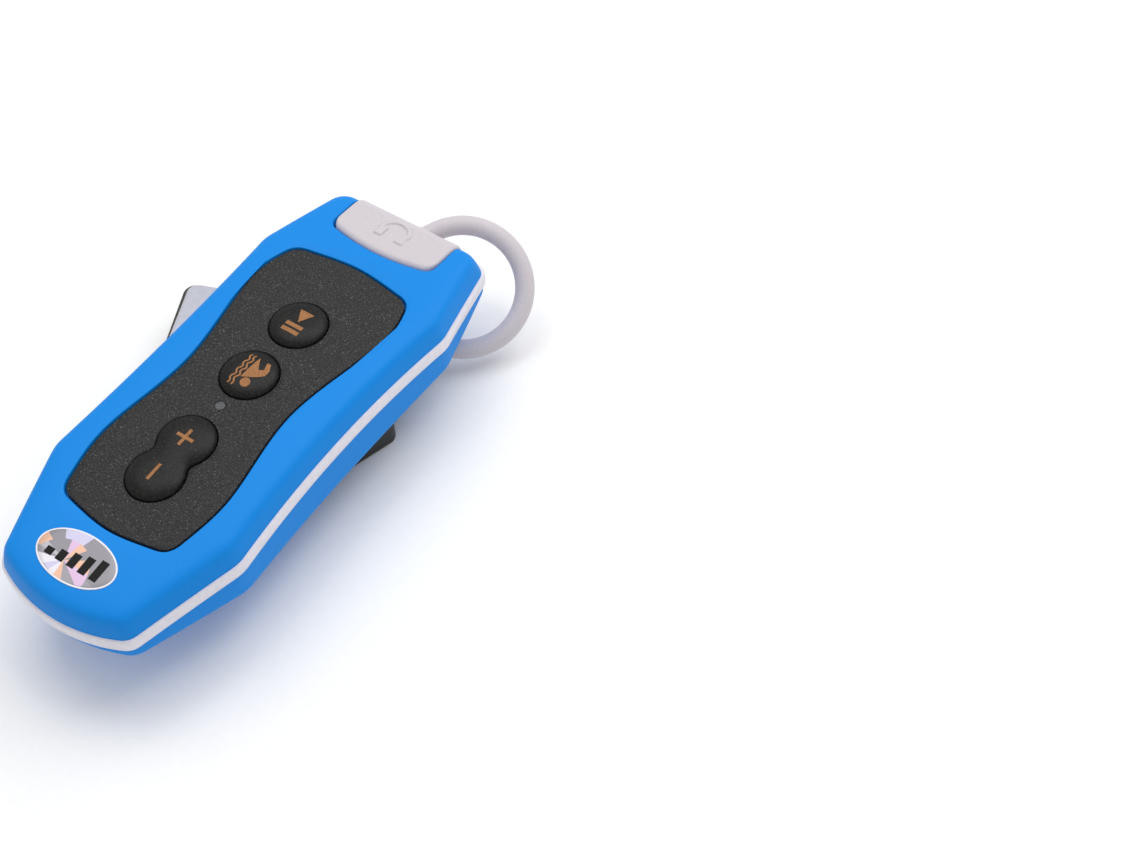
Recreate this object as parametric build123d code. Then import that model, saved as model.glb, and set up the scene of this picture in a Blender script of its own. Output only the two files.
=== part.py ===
"""Clip-on digital audio player for sport, as an assembly of separate pieces.

Millimetres. +Z points out of the face with the buttons, +Y towards the end with the
headphone jack, +X to the right of someone who looks at the face. The origin is on the
body's centre line, half way along it, at the level of the clip arm's back face, which
is what the player rests on.
"""
from build123d import *
import math
import os

# Body: two shells with a white gasket between them
body_length = 78.0
body_width = 33.0
top_end_width = 25.8
bottom_end_width = 22.6
shoulder_from_top = 14.7
hip_from_bottom = 18.9
waist_inset = 1.05
bottom_bulge = 2.7
corner_round = 2.6
side_round = 9.0
face_height = 3.6
face_round = 1.7
seam_drop = 2.2
gasket_height = 2.1
gasket_proud = 0.4
belly_depth = 9.2
belly_end_rise = 2.4
belly_y = 4.0
belly_round = 1.8
wall = 1.4
face_wall = 2.2
end_wall = 3.0

# Face plate and keypad
plate_from_top = 12.9
plate_from_bottom = 12.6
plate_corner_in_y = 1.3
plate_tail_in_y = 1.3
plate_upper_from_top = 7.6
plate_lower_from_bottom = 10.4
plate_top_half = 10.2
plate_upper_half = 11.6
plate_waist_half = 9.0
plate_lower_half = 10.8
plate_bottom_half = 9.4
plate_round = 1.8
plate_thickness = 1.0
plate_below_face = 0.1
plate_gap = 0.3
plate_ledge = 1.6
button_radius = 4.13
button_gap = 0.15
button_height = 0.9
button_round = 0.7
button_travel = 0.35
flange_width = 0.6
flange_thickness = 0.5
keys_middle_y = -1.85
round_keys_gap = 2.34
light_below_key = 2.07
rocker_below_light = 2.77
rocker_lobe_in = 0.93
rocker_waist_in = 0.98
plunger_radius = 1.0
press_room = 0.45
rock_room = 0.5
rib_radius = 0.5
membrane_thickness = 0.4
membrane_above_seam = 0.4
membrane_rim = 1.8
led_radius = 0.75
lens_above_board = 0.9
lens_round = 0.1
led_width = 1.6
led_length = 0.8
led_height = 0.7
sticker_from_bottom = 7.0
sticker_in_x = -0.5
sticker_half_width = 6.45
sticker_half_length = 3.65
sticker_thickness = 0.12

# Electronics
board_below_seam = 1.4
board_thickness = 0.8
board_gap = 0.4
board_bottom_margin = 8.0
switch_size = 3.2
switch_height = 0.9
actuator_radius = 0.8
actuator_height = 0.3
chip_height = 0.8
chip_chamfer = 0.12
chip_places = {
    "memory_chip": (-4.5, -4.0, 8.0, 10.0),
    "processor_chip": (5.5, -6.0, 7.0, 7.0),
    "radio_chip": (6.0, 5.0, 4.0, 4.0),
    "crystal": (0.0, 12.0, 3.2, 2.5),
}
passive_width = 0.8
passive_length = 1.6
passive_height = 0.5
passive_row_x = 11.5
passive_first_y = -12.0
passive_pitch = 6.0
passive_count = 5
battery_length = 34.0
battery_width = 22.0
battery_thickness = 3.4
battery_y = 1.0
battery_gap = 0.1
battery_round = 1.2
tape_side_margin = 3.0
tape_end_margin = 5.0
tape_thickness = 0.15
lead_radius = 0.4
lead_x = 3.0
lead_reach = 2.4
lead_bend = 1.0

# Headphone jack, its cover, the tether and its anchor
jack_axis_drop = 3.05
jack_width = 6.4
jack_height = 4.6
jack_length = 10.0
jack_nose_radius = 2.25
jack_hole_gap = 0.05
jack_bore_radius = 1.8
plug_gap = 0.05
plug_tip_round = 0.8
bore_beyond_plug = 1.6
socket_round = 0.5
contact_thickness = 0.3
contact_length = 2.0
contact_height = 2.4
contact_first = 2.0
contact_pitch = 3.0
plug_length = 9.5
plug_head_radius = 2.4
plug_head_thickness = 0.6
plug_pull_travel = 14.0
cover_half = 9.0
cover_from_end = 7.4
cover_bulge = 1.3
cover_thickness = 1.6
cover_proud = 0.25
cover_gap = 0.15
cover_above_belly = 0.2
cover_leaf = 1.25
cover_round = 1.4
cover_edge_round = 0.9
cover_below_face = 0.4
seal_inner = 2.6
seal_outer = 3.3
seal_height = 0.5
tether_radius = 1.45
loop_radius = 9.13
tether_start = (1.4, 0.0, -2.6)
tether_end = (8.1, -9.4, -11.2)
loop_bulge = (0.81, 0.55, -0.14)
anchor_length = 6.0
anchor_width = 5.0
anchor_in_x = 2.0
anchor_in_y = 1.2
anchor_below_tether = 0.6
anchor_root = 3.0
anchor_round = 1.2

# Screws
screw_boss_radius = 2.2
screw_radius = 0.7
screw_head_radius = 1.4
screw_head_height = 1.0
screw_length = 6.5
screw_sunk = 0.4
screw_top_margin = 12.5
screw_bottom_margin = 12.0
screw_side_margin = 5.3
screw_bottom_inset = 0.8
screw_blind = 1.0
screw_cross_length = 2.2
screw_cross_width = 0.4
screw_cross_depth = 0.4

# Swivelling spring clip
clip_y = 5.0
arm_thickness = 1.8
jaw_gap = 3.0
base_thickness = 1.5
washer_thickness = 0.3
boss_height = 0.4
run_gap = 0.05
tab_reach = 28.2
tab_corner_y = 13.0
tab_shoulder_reach = 20.0
tab_shoulder_y = 16.2
tab_foot_reach = 19.2
jaw_reach = 13.0
jaw_corner_y = 9.8
jaw_shoulder_reach = 8.5
jaw_shoulder_y = 14.3
jaw_foot_reach = 7.7
clip_foot_y = -7.0
clip_round = 1.6
tab_bend_reach = 17.0
tab_rise = 0.8
tab_core_thickness = 0.7
tab_core_lip = 0.3
tab_step_start = 2.0
tab_step_end = 1.2
tab_cover_thickness = 1.0
tab_cover_overlap = 1.0
hinge_x = -7.0
hinge_in_y = 4.0
pin_radius = 0.7
pin_length = 17.0
lug_radius = 1.4
lug_thickness = 1.5
spring_length = 6.0
spring_wire = 0.22
spring_leg = 5.0
spring_clear = 0.1
arm_round = 0.6
grip_first_reach = 15.5
grip_pitch = 1.8
grip_count = 5
grip_width = 0.8
grip_depth = 0.35
grip_half_length = 6.0
grip_in_y = 3.5
jaw_lip = 5.8
jaw_ramp = 1.0
jaw_pad_thickness = 0.5
jaw_pad_inset = 0.4
jaw_pad_margin = 0.3
groove_width = 0.3
groove_depth = 0.2
groove_first = 1.1
groove_pitch = 0.9
groove_count = 3
swivel_radius = 2.2
swivel_head_radius = 3.6
swivel_head_height = 0.8
swivel_cross_length = 3.6
swivel_cross_width = 0.7
swivel_cross_depth = 0.45
swivel_thread_radius = 1.2
insert_radius = 2.4
insert_length = 2.2
insert_cap = 0.6
insert_wall = 1.2
insert_floor = 0.3
thread_short = 0.4
washer_rim = 1.0
washer_radius = 5.5
fit_gap = 0.03

# Levels and places worked out from the sizes above
top_y = body_length / 2
bottom_y = -body_length / 2
side_half = body_width / 2
shoulder_y = top_y - shoulder_from_top
hip_y = bottom_y + hip_from_bottom
bottom_corner_y = bottom_y + bottom_bulge
base_bottom = arm_thickness + jaw_gap
base_top = base_bottom + base_thickness
boss_bottom = base_top + run_gap + washer_thickness
belly_level = boss_bottom + boss_height
seam_level = belly_level + belly_depth
face_level = seam_level + face_height
plate_level = face_level - plate_below_face
rocker_pitch = 2 * (button_radius - rocker_lobe_in)
rocker_waist_half = button_radius - rocker_waist_in
rocker_length = rocker_pitch + 2 * button_radius
keys_length = 4 * button_radius + round_keys_gap + light_below_key + rocker_below_light + rocker_length
play_y = keys_middle_y + keys_length / 2 - button_radius
mode_y = play_y - 2 * button_radius - round_keys_gap
rocker_y = keys_middle_y - keys_length / 2 + rocker_length / 2
led_y = mode_y - button_radius - light_below_key
board_top = seam_level - board_below_seam
board_bottom = board_top - board_thickness
battery_bottom = boss_bottom + insert_length + insert_cap + battery_gap
battery_top = battery_bottom + battery_thickness
jack_level = seam_level - jack_axis_drop
leaf_inner_y = top_y - cover_leaf + 0.1
jack_back_y = top_y - end_wall
hinge_level = arm_thickness + jaw_gap / 2
hinge_y = clip_y + hinge_in_y
seam_arc_radius = (top_y ** 2 + seam_drop ** 2) / (2 * seam_drop)
screw_spots = [
    (sign * (side_half - screw_side_margin - inset), y)
    for sign in (-1, 1)
    for y, inset in ((top_y - screw_top_margin, 0.0), (bottom_y + screw_bottom_margin, screw_bottom_inset))
]
clear = 0.05
beyond = 6.0


def drop(y):
    """How far the arched seam has fallen at this distance from the middle."""
    return seam_arc_radius - math.sqrt(seam_arc_radius ** 2 - y ** 2)


def prism(sketch, low, high):
    """The sketch as an upright prism between two levels."""
    return extrude(Pos(0, 0, low) * sketch, amount=high - low)


def side_profile(edges, half_width):
    """A closed profile in the YZ plane, as a bar along X."""
    return extrude(Plane.YZ * make_face(edges), amount=half_width, both=True)


def arched_slab(low, high):
    """A slab that follows the arch of the seam, between two heights above it."""
    reach = top_y + beyond
    edge_drop = drop(reach)
    lower = [(-reach, low - edge_drop), (0, low), (reach, low - edge_drop)]
    upper = [(-reach, high - edge_drop), (0, high), (reach, high - edge_drop)]
    edges = [
        ThreePointArc(*lower),
        Line(lower[2], upper[2]),
        ThreePointArc(*upper),
        Line(upper[0], lower[0]),
    ]
    return Pos(0, 0, seam_level) * side_profile(edges, body_width)


def belly_rise(y):
    """How far the arched belly has risen towards the seam at this place."""
    span = top_y - belly_y if y > belly_y else top_y + belly_y
    return belly_end_rise * ((y - belly_y) / span) ** 2


def belly_slab(inset, high):
    """From the belly's arc, moved inwards by inset, up to a height above the seam."""
    level = belly_level - seam_level + inset
    reach = top_y + beyond
    left = (-reach, level + belly_rise(-reach))
    right = (reach, level + belly_rise(reach))
    edges = [
        ThreePointArc(left, (belly_y, level), right),
        Line(right, (reach, high)),
        Line((reach, high), (-reach, high)),
        Line((-reach, high), left),
    ]
    return Pos(0, 0, seam_level) * side_profile(edges, body_width)


def body_outline(grow=0.0):
    """The waisted outline of the body, seen from the front."""
    top = top_end_width / 2
    bottom = bottom_end_width / 2
    waist = (side_half - waist_inset, (shoulder_y + hip_y) / 2)
    edges = [
        Line((-top, top_y), (top, top_y)),
        Line((top, top_y), (side_half, shoulder_y)),
        ThreePointArc((side_half, shoulder_y), waist, (side_half, hip_y)),
        Line((side_half, hip_y), (bottom, bottom_corner_y)),
        ThreePointArc((bottom, bottom_corner_y), (0, bottom_y), (-bottom, bottom_corner_y)),
        Line((-bottom, bottom_corner_y), (-side_half, hip_y)),
        ThreePointArc((-side_half, hip_y), (-waist[0], waist[1]), (-side_half, shoulder_y)),
        Line((-side_half, shoulder_y), (-top, top_y)),
    ]
    face = make_face(edges)
    face = fillet(face.vertices().group_by(Axis.Y)[-1], corner_round)
    face = fillet([v for v in face.vertices() if abs(v.Y - bottom_corner_y) < 0.1], corner_round)
    face = fillet([v for v in face.vertices() if abs(v.Y - shoulder_y) < 0.1], side_round)
    face = fillet([v for v in face.vertices() if abs(v.Y - hip_y) < 0.1], side_round)
    return offset(face, grow) if grow else face


def cavity_outline():
    """The inside of both shells and of the gasket, cut short behind the jack."""
    inner = body_outline(-wall)
    keep = Pos(0, jack_back_y - body_length) * Rectangle(body_width, 2 * body_length)
    return inner & keep


def plate_outline(grow=0.0):
    """The face plate's outline, wide at both ends and narrow in the middle."""
    high = top_y - plate_from_top + grow
    low = bottom_y + plate_from_bottom - grow
    top_corner = (plate_top_half + grow, high - plate_corner_in_y)
    bottom_corner = (plate_bottom_half + grow, low + plate_tail_in_y)
    side = [
        top_corner,
        (plate_upper_half + grow, high - plate_upper_from_top),
        (plate_waist_half + grow, 0.0),
        (plate_lower_half + grow, low + plate_lower_from_bottom),
        bottom_corner,
    ]
    mirrored = [(-x, y) for x, y in side]
    edges = [
        ThreePointArc(mirrored[0], (0, high), top_corner),
        Spline(side),
        ThreePointArc(bottom_corner, (0, low), mirrored[-1]),
        Spline(mirrored[::-1]),
    ]
    return fillet(make_face(edges).vertices(), plate_round + 0.5 * grow)


def peanut(grow=0.0):
    """Two overlapping discs with a hollow blended in at each side of the waist."""
    radius = button_radius
    half_pitch = rocker_pitch / 2
    waist = rocker_waist_half
    blend = (waist ** 2 + half_pitch ** 2 - radius ** 2) / (2 * (radius - waist))
    centre_x = waist + blend
    share = radius / (radius + blend)
    touch = (centre_x * share, half_pitch - half_pitch * share)
    shape = Rectangle(2 * touch[0], 2 * touch[1])
    for sign in (-1, 1):
        shape = shape + Pos(0, sign * half_pitch) * Circle(radius)
    for sign in (-1, 1):
        shape = shape - Pos(sign * centre_x, 0) * Circle(blend)
    return offset(shape, grow) if grow else shape


def key_shapes(grow=0.0):
    """The two round buttons and the rocker, as sketches."""
    return [
        Pos(0, play_y) * Circle(button_radius + grow),
        Pos(0, mode_y) * Circle(button_radius + grow),
        Pos(0, rocker_y) * peanut(grow),
    ]


def cover_outline(grow, end_y):
    """The jack cover's leaf on the face, from its bowed edge out past the end."""
    half = cover_half + grow
    corner_y = top_y - cover_from_end - grow
    edges = [
        ThreePointArc((-half, corner_y), (0, corner_y - cover_bulge), (half, corner_y)),
        Line((half, corner_y), (half, end_y)),
        Line((half, end_y), (-half, end_y)),
        Line((-half, end_y), (-half, corner_y)),
    ]
    face = make_face(edges)
    corners = [v for v in face.vertices() if abs(v.Y - corner_y) < 0.1]
    return fillet(corners, cover_round + grow)


def cover_room():
    """Everything the cover takes out of the shells and the gasket."""
    leaf = prism(cover_outline(cover_gap, top_y + beyond), 0, 2 * face_level)
    leaf = leaf & arched_slab(face_height - cover_thickness - cover_gap, face_height + beyond)
    slot = Pos(0, leaf_inner_y - cover_gap + beyond / 2, face_level) * Box(
        2 * (cover_half + cover_gap), beyond, 2 * face_level
    )
    return leaf + slot


def jack_hole(radius):
    """A bore along the jack's axis, through the end wall."""
    return Pos(0, top_y - end_wall, jack_level) * Rot(90, 0, 0) * Cylinder(radius, 4 * end_wall)


def front_shell():
    shell = prism(body_outline(), seam_level - beyond, face_level + beyond)
    shell = shell & arched_slab(0, face_height)
    top_face = shell.faces().sort_by(Axis.Z)[-1]
    shell = fillet(top_face.edges(), face_round)
    cavity = prism(cavity_outline(), seam_level - beyond, face_level)
    shell = shell - (cavity & arched_slab(-beyond, face_height - face_wall))
    recess = prism(plate_outline(plate_gap), seam_level, face_level + beyond)
    floor = face_height - plate_below_face - plate_thickness
    shell = shell - (recess & arched_slab(floor, face_height + beyond))
    shell = shell - prism(plate_outline(-plate_ledge), seam_level - beyond, face_level)
    for spot in screw_spots:
        boss = prism(Pos(*spot) * Circle(screw_boss_radius), board_bottom, face_level)
        shell = shell + (boss & arched_slab(-beyond, face_height - face_wall + clear))
        shell = shell - prism(Pos(*spot) * Circle(screw_radius + fit_gap), board_bottom, seam_level + screw_blind)
    return shell - cover_room() - jack_hole(jack_nose_radius + jack_hole_gap)


def seam_gasket():
    ring = body_outline(gasket_proud) - cavity_outline()
    band = prism(ring, seam_level - beyond, seam_level) & arched_slab(-gasket_height, 0)
    return band - cover_room() - jack_hole(jack_nose_radius + jack_hole_gap)


def back_shell():
    solid = prism(body_outline(), belly_level - beyond, seam_level)
    solid = solid & belly_slab(0.0, 0.0)
    bottom_face = solid.faces().sort_by(Axis.Z)[0]
    solid = fillet(bottom_face.edges(), belly_round)
    solid = solid & arched_slab(-2 * belly_depth, -gasket_height)
    cavity = prism(cavity_outline(), belly_level, seam_level) & belly_slab(wall, 0.0)
    shell = solid - cavity
    for spot in screw_spots:
        boss = prism(Pos(*spot) * Circle(screw_boss_radius), belly_level, board_bottom)
        shell = shell + (boss & belly_slab(wall - clear, 0.0))
        head_room = Pos(*spot) * Circle(screw_head_radius + 2 * fit_gap)
        shell = shell - prism(head_room, belly_level - beyond, screw_seat(spot[1]))
        shell = shell - prism(Pos(*spot) * Circle(screw_radius + fit_gap), belly_level, board_bottom)
    pivot = Pos(0, clip_y)
    shell = shell + prism(pivot * Circle(washer_radius + washer_rim), boss_bottom, belly_level + wall)
    cap_top = boss_bottom + insert_length + insert_cap
    shell = shell + prism(pivot * Circle(insert_radius + insert_wall), belly_level + insert_wall, cap_top)
    shell = shell - prism(pivot * Circle(insert_radius + fit_gap), boss_bottom, boss_bottom + insert_length)
    return shell - cover_room() - jack_hole(jack_nose_radius + jack_hole_gap)


def screw_seat(y):
    """The level that a shell screw's head seats on, in its well in the back shell."""
    return belly_level + belly_rise(y) + screw_head_height + screw_sunk


def shell_screws():
    screws = []
    for x, y in screw_spots:
        seat = screw_seat(y)
        head = prism(Pos(x, y) * Circle(screw_head_radius), seat - screw_head_height, seat)
        cross = Rectangle(screw_cross_length, screw_cross_width)
        cross = cross + Rectangle(screw_cross_width, screw_cross_length)
        face = seat - screw_head_height
        recess = prism(Pos(x, y) * cross, face, face + screw_cross_depth)
        shank = prism(Pos(x, y) * Circle(screw_radius), seat, seat + screw_length)
        screws.append(head + shank - recess)
    return Compound(children=screws)


def face_plate():
    low = face_height - plate_below_face - plate_thickness
    plate = prism(plate_outline(), seam_level, face_level) & arched_slab(low, low + plate_thickness)
    for key in key_shapes(button_gap):
        plate = plate - prism(key, seam_level, face_level)
    return plate - prism(Pos(0, led_y) * Circle(led_radius + fit_gap), seam_level, face_level)


def on_face(y, shape):
    """A piece modelled level at the origin, laid on the arched face plate at this place."""
    tilt = math.degrees(math.atan(-y / seam_arc_radius))
    return Pos(0, y, plate_level - drop(y)) * Rot(tilt, 0, 0) * shape


def key_cap(key, flange, room, plungers):
    """A cap with a domed edge, a flange that stops it under the plate, and plungers."""
    flange_top = -plate_thickness - clear - room
    membrane_top = membrane_above_seam + membrane_thickness - face_height + plate_below_face
    cap = prism(key, flange_top, button_height)
    cap = fillet(cap.faces().sort_by(Axis.Z)[-1].edges(), button_round)
    cap = cap + prism(flange, flange_top - flange_thickness, flange_top)
    for spot in plungers:
        cap = cap + prism(Pos(0, spot) * Circle(plunger_radius), membrane_top + press_room, flange_top)
    return cap


def round_button(y):
    flange = Circle(button_radius + flange_width)
    return on_face(y, key_cap(Circle(button_radius), flange, clear, [0.0]))


def volume_rocker():
    """Both volume keys in one cap, which rocks on a rib under its waist."""
    half_pitch = rocker_pitch / 2
    cap = key_cap(peanut(), peanut(flange_width), rock_room, [-half_pitch, half_pitch])
    rib_level = -plate_thickness - clear - rock_room - flange_thickness
    rib = Pos(0, 0, rib_level) * Rot(0, 90, 0) * Cylinder(rib_radius, rocker_waist_half)
    return on_face(rocker_y, cap + rib)


def keypad_membrane():
    low = membrane_above_seam
    window = prism(plate_outline(-plate_ledge), seam_level - beyond, face_level)
    sheet = prism(plate_outline(membrane_rim - plate_ledge), seam_level - beyond, face_level)
    for spot in screw_spots:
        sheet = sheet - prism(Pos(*spot) * Circle(screw_boss_radius + clear), 0, face_level)
    rim = sheet - window
    flat = sheet & arched_slab(low, low + membrane_thickness)
    lip = rim & arched_slab(low + membrane_thickness - clear, face_height - face_wall)
    return flat + lip - prism(Pos(0, led_y) * Circle(led_radius + clear), 0, face_level)


def led_lens():
    low = board_top + lens_above_board
    stem = prism(Pos(0, led_y) * Circle(led_radius), low, plate_level - drop(led_y))
    return fillet(stem.edges().sort_by(Axis.Z)[-1], lens_round)


def status_led():
    return Pos(0, led_y, board_top + led_height / 2) * Box(led_width, led_length, led_height)


def board_outline():
    outline = offset(body_outline(), -wall - board_gap)
    low = bottom_y + board_bottom_margin
    high = jack_back_y - jack_length - board_gap
    outline = outline & (Pos(0, (low + high) / 2) * Rectangle(body_width, high - low))
    for spot in screw_spots:
        outline = outline - Pos(*spot) * Circle(screw_boss_radius + board_gap)
    return outline


def main_board():
    return prism(board_outline(), board_bottom, board_top)


def tact_switch(y):
    case = Pos(0, y, board_top + switch_height / 2) * Box(switch_size, switch_size - 0.4, switch_height)
    case_top = board_top + switch_height
    return case + prism(Pos(0, y) * Circle(actuator_radius), case_top - clear, case_top + actuator_height)


def chip(x, y, width, length):
    """A chip on the underside of the board."""
    body = Pos(x, y, board_bottom - chip_height / 2) * Box(width, length, chip_height)
    return chamfer(body.faces().sort_by(Axis.Z)[0].edges(), chip_chamfer)


def board_passives():
    """Small resistors and capacitors in two rows on the underside."""
    rows = []
    level = board_bottom - passive_height / 2
    for index in range(passive_count):
        y = passive_first_y + passive_pitch * index
        for x in (-passive_row_x, passive_row_x):
            rows.append(Pos(x, y, level) * Box(passive_width, passive_length, passive_height))
    return Compound(children=rows)


def battery_cell():
    middle = battery_bottom + battery_thickness / 2
    cell = Pos(0, battery_y, middle) * Box(battery_width, battery_length, battery_thickness)
    return fillet(cell.edges().filter_by(Axis.Y), battery_round)


def battery_tape():
    """Adhesive tape on the cell's upper face, as wide as the cell less its rounded edges."""
    level = battery_top + tape_thickness / 2
    width = battery_width - 2 * tape_side_margin
    length = battery_length - 2 * tape_end_margin
    return Pos(0, battery_y, level) * Box(width, length, tape_thickness)


def battery_lead(x):
    """One lead, from the cell's end up to its solder joint under the board."""
    start_y = battery_y - battery_length / 2
    level = battery_bottom + battery_thickness / 2
    route = [
        (x, start_y, level),
        (x, start_y - lead_reach, level),
        (x, start_y - lead_reach, board_bottom),
    ]
    path = FilletPolyline(*route, radius=lead_bend)
    return sweep(Plane(path @ 0, z_dir=path % 0) * Circle(lead_radius), path)


def jack_socket():
    centre_y = jack_back_y - jack_length / 2
    body = Pos(0, centre_y, jack_level) * Box(jack_width, jack_length, jack_height)
    body = fillet(body.edges().filter_by(Axis.Y), socket_round)
    nose_length = leaf_inner_y - cover_gap - jack_back_y
    nose = Pos(0, jack_back_y + nose_length / 2, jack_level) * Rot(90, 0, 0) * Cylinder(
        jack_nose_radius, nose_length
    )
    bore = Pos(0, jack_back_y, jack_level) * Rot(90, 0, 0) * Cylinder(
        jack_bore_radius, 2 * (plug_length - end_wall + bore_beyond_plug)
    )
    socket = body + nose - bore
    for place in contact_places():
        socket = socket - Pos(*place) * contact_spring(clear)
    return socket


def contact_places():
    """Where the three contact springs sit, in slots in the socket's sides."""
    side = jack_width / 2 - contact_thickness / 2
    return [
        (side, jack_back_y - contact_first, jack_level),
        (-side, jack_back_y - contact_first - contact_pitch, jack_level),
        (side, jack_back_y - contact_first - 2 * contact_pitch, jack_level),
    ]


def contact_spring(grow=0.0):
    return Box(contact_thickness + grow, contact_length + grow, contact_height + grow)


def jack_contacts():
    return Compound(children=[Pos(*place) * contact_spring() for place in contact_places()])


def jack_cover():
    leaf = prism(cover_outline(0.0, top_y + 0.1), 0, 2 * face_level)
    leaf = leaf & arched_slab(face_height - cover_thickness, face_height + cover_proud)
    low = belly_level + belly_end_rise + cover_above_belly
    high = face_level - drop(top_y) - cover_below_face
    end = Pos(0, leaf_inner_y + cover_leaf / 2, (low + high) / 2) * Box(
        2 * cover_half, cover_leaf, high - low
    )
    cover = leaf + end
    outer_face = cover.faces().sort_by(Axis.Y)[-1].edges().sort_by(Axis.Z)
    cover = fillet([outer_face[0], outer_face[-1]], cover_edge_round)
    head = Pos(0, leaf_inner_y, jack_level) * Rot(90, 0, 0) * Cylinder(
        plug_head_radius, 2 * plug_head_thickness
    )
    groove = Pos(0, leaf_inner_y, jack_level) * Rot(90, 0, 0) * seal_ring(2 * (seal_height - cover_gap + clear))
    return cover - head - groove


def seal_ring(length):
    return Cylinder(seal_outer, length) - Cylinder(seal_inner, length)


def plug_seal():
    middle = leaf_inner_y - cover_gap + clear + seal_height / 2
    return Pos(0, middle, jack_level) * Rot(90, 0, 0) * seal_ring(seal_height)


def jack_plug():
    head = Pos(0, leaf_inner_y + plug_head_thickness / 2, jack_level) * Rot(90, 0, 0) * Cylinder(
        plug_head_radius, plug_head_thickness
    )
    stem = Pos(0, leaf_inner_y - plug_length / 2, jack_level) * Rot(90, 0, 0) * Cylinder(
        jack_bore_radius - plug_gap, plug_length
    )
    stem = fillet(stem.edges().sort_by(Axis.Y)[0], plug_tip_round)
    return head + stem


def loop_arc():
    """The tether's centre line: one arc that leaves the cover and comes back to the anchor."""
    start = Vector(tether_start[0], top_y + 0.1, seam_level + tether_start[2])
    end = Vector(tether_end[0], top_y + tether_end[1], seam_level + tether_end[2])
    middle = (start + end) * 0.5
    chord = end - start
    out = Vector(*loop_bulge)
    out = (out - chord * (out.dot(chord) / chord.dot(chord))).normalized()
    centre = middle + out * math.sqrt(loop_radius ** 2 - (chord.length / 2) ** 2)
    return ThreePointArc(start, centre + out * loop_radius, end)


def cover_tether():
    path = loop_arc()
    return sweep(Plane(path @ 0, z_dir=path % 0) * Circle(tether_radius), path)


def tether_anchor():
    """A lug under the back shell, which the tether's end is moulded into."""
    x, y = tether_end[0], top_y + tether_end[1]
    low = seam_level + tether_end[2] - tether_radius - anchor_below_tether
    high = belly_level + anchor_root
    block = Pos(x - anchor_in_x, y - anchor_in_y, (low + high) / 2) * Box(
        anchor_length, anchor_width, high - low
    )
    block = fillet(block.edges().filter_by(Axis.Z), anchor_round)
    shell_space = prism(body_outline(beyond), belly_level - beyond, seam_level) & belly_slab(0.0, 0.0)
    return block - shell_space - cover_tether()


def clip_outline(grow=0.0):
    """The clip's outline: broad shoulders towards the jack end, tapering to a foot."""
    corners = [
        (-tab_reach, tab_corner_y),
        (-tab_shoulder_reach, tab_shoulder_y),
        (jaw_shoulder_reach, jaw_shoulder_y),
        (jaw_reach, jaw_corner_y),
        (jaw_foot_reach, clip_foot_y),
        (-tab_foot_reach, clip_foot_y),
    ]
    face = make_face(Polyline(*corners, close=True))
    face = fillet(face.vertices(), clip_round)
    face = offset(face, grow) if grow else face
    return Pos(0, clip_y) * face


def bar_along_y(points):
    """A closed profile in the XZ plane, as a bar along Y across the clip."""
    profile = Plane.XZ * make_face(Polyline(*points, close=True))
    return Pos(0, clip_y, 0) * extrude(profile, amount=2 * tab_shoulder_y, both=True)


def tab_lift(x):
    """How far the finger tab has risen towards the face at this place."""
    return tab_rise * max(0.0, (-tab_bend_reach - x) / (tab_reach - tab_bend_reach))


def lug(y, thickness, hole, foot_level):
    """A hinge lug round the pin's axis, with a foot to the plate that carries it."""
    ring = Pos(hinge_x, y, hinge_level) * Rot(90, 0, 0) * Cylinder(lug_radius, thickness)
    middle = (hinge_level + foot_level) / 2
    foot = Pos(hinge_x, y, middle) * Box(2 * lug_radius, thickness, abs(foot_level - hinge_level))
    bore = Pos(hinge_x, y, hinge_level) * Rot(90, 0, 0) * Cylinder(hole, thickness + 1)
    return ring + foot, bore


def clip_base():
    end = -tab_reach - 1.0
    core_drop = base_thickness - tab_core_thickness
    points = [
        (jaw_reach + 1, base_bottom),
        (jaw_reach + 1, base_top),
        (-tab_bend_reach + tab_step_start, base_top),
        (-tab_bend_reach + tab_step_end, base_top - core_drop),
        (-tab_bend_reach, base_top - core_drop),
        (end, base_top - core_drop + tab_lift(end)),
        (end, base_bottom + tab_lift(end)),
        (-tab_bend_reach, base_bottom),
    ]
    base = prism(clip_outline(tab_core_lip), 0, seam_level) & bar_along_y(points)
    for sign in (-1, 1):
        y = hinge_y + sign * (pin_length / 2 - lug_thickness / 2)
        body, bore = lug(y, lug_thickness, pin_radius, base_bottom + clear)
        base = base + body - bore
    base = base - prism(Pos(0, clip_y) * Circle(swivel_radius + run_gap), 0, seam_level)
    return base


def tab_cover():
    end = -tab_reach - 1.0
    low = base_bottom + tab_core_thickness
    points = [
        (-tab_bend_reach + tab_cover_overlap, low),
        (-tab_bend_reach + tab_cover_overlap, low + tab_cover_thickness),
        (-tab_bend_reach, low + tab_cover_thickness),
        (end, low + tab_cover_thickness + tab_lift(end)),
        (end, low + tab_lift(end)),
        (-tab_bend_reach, low),
    ]
    return prism(clip_outline(), 0, seam_level) & bar_along_y(points)


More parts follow.
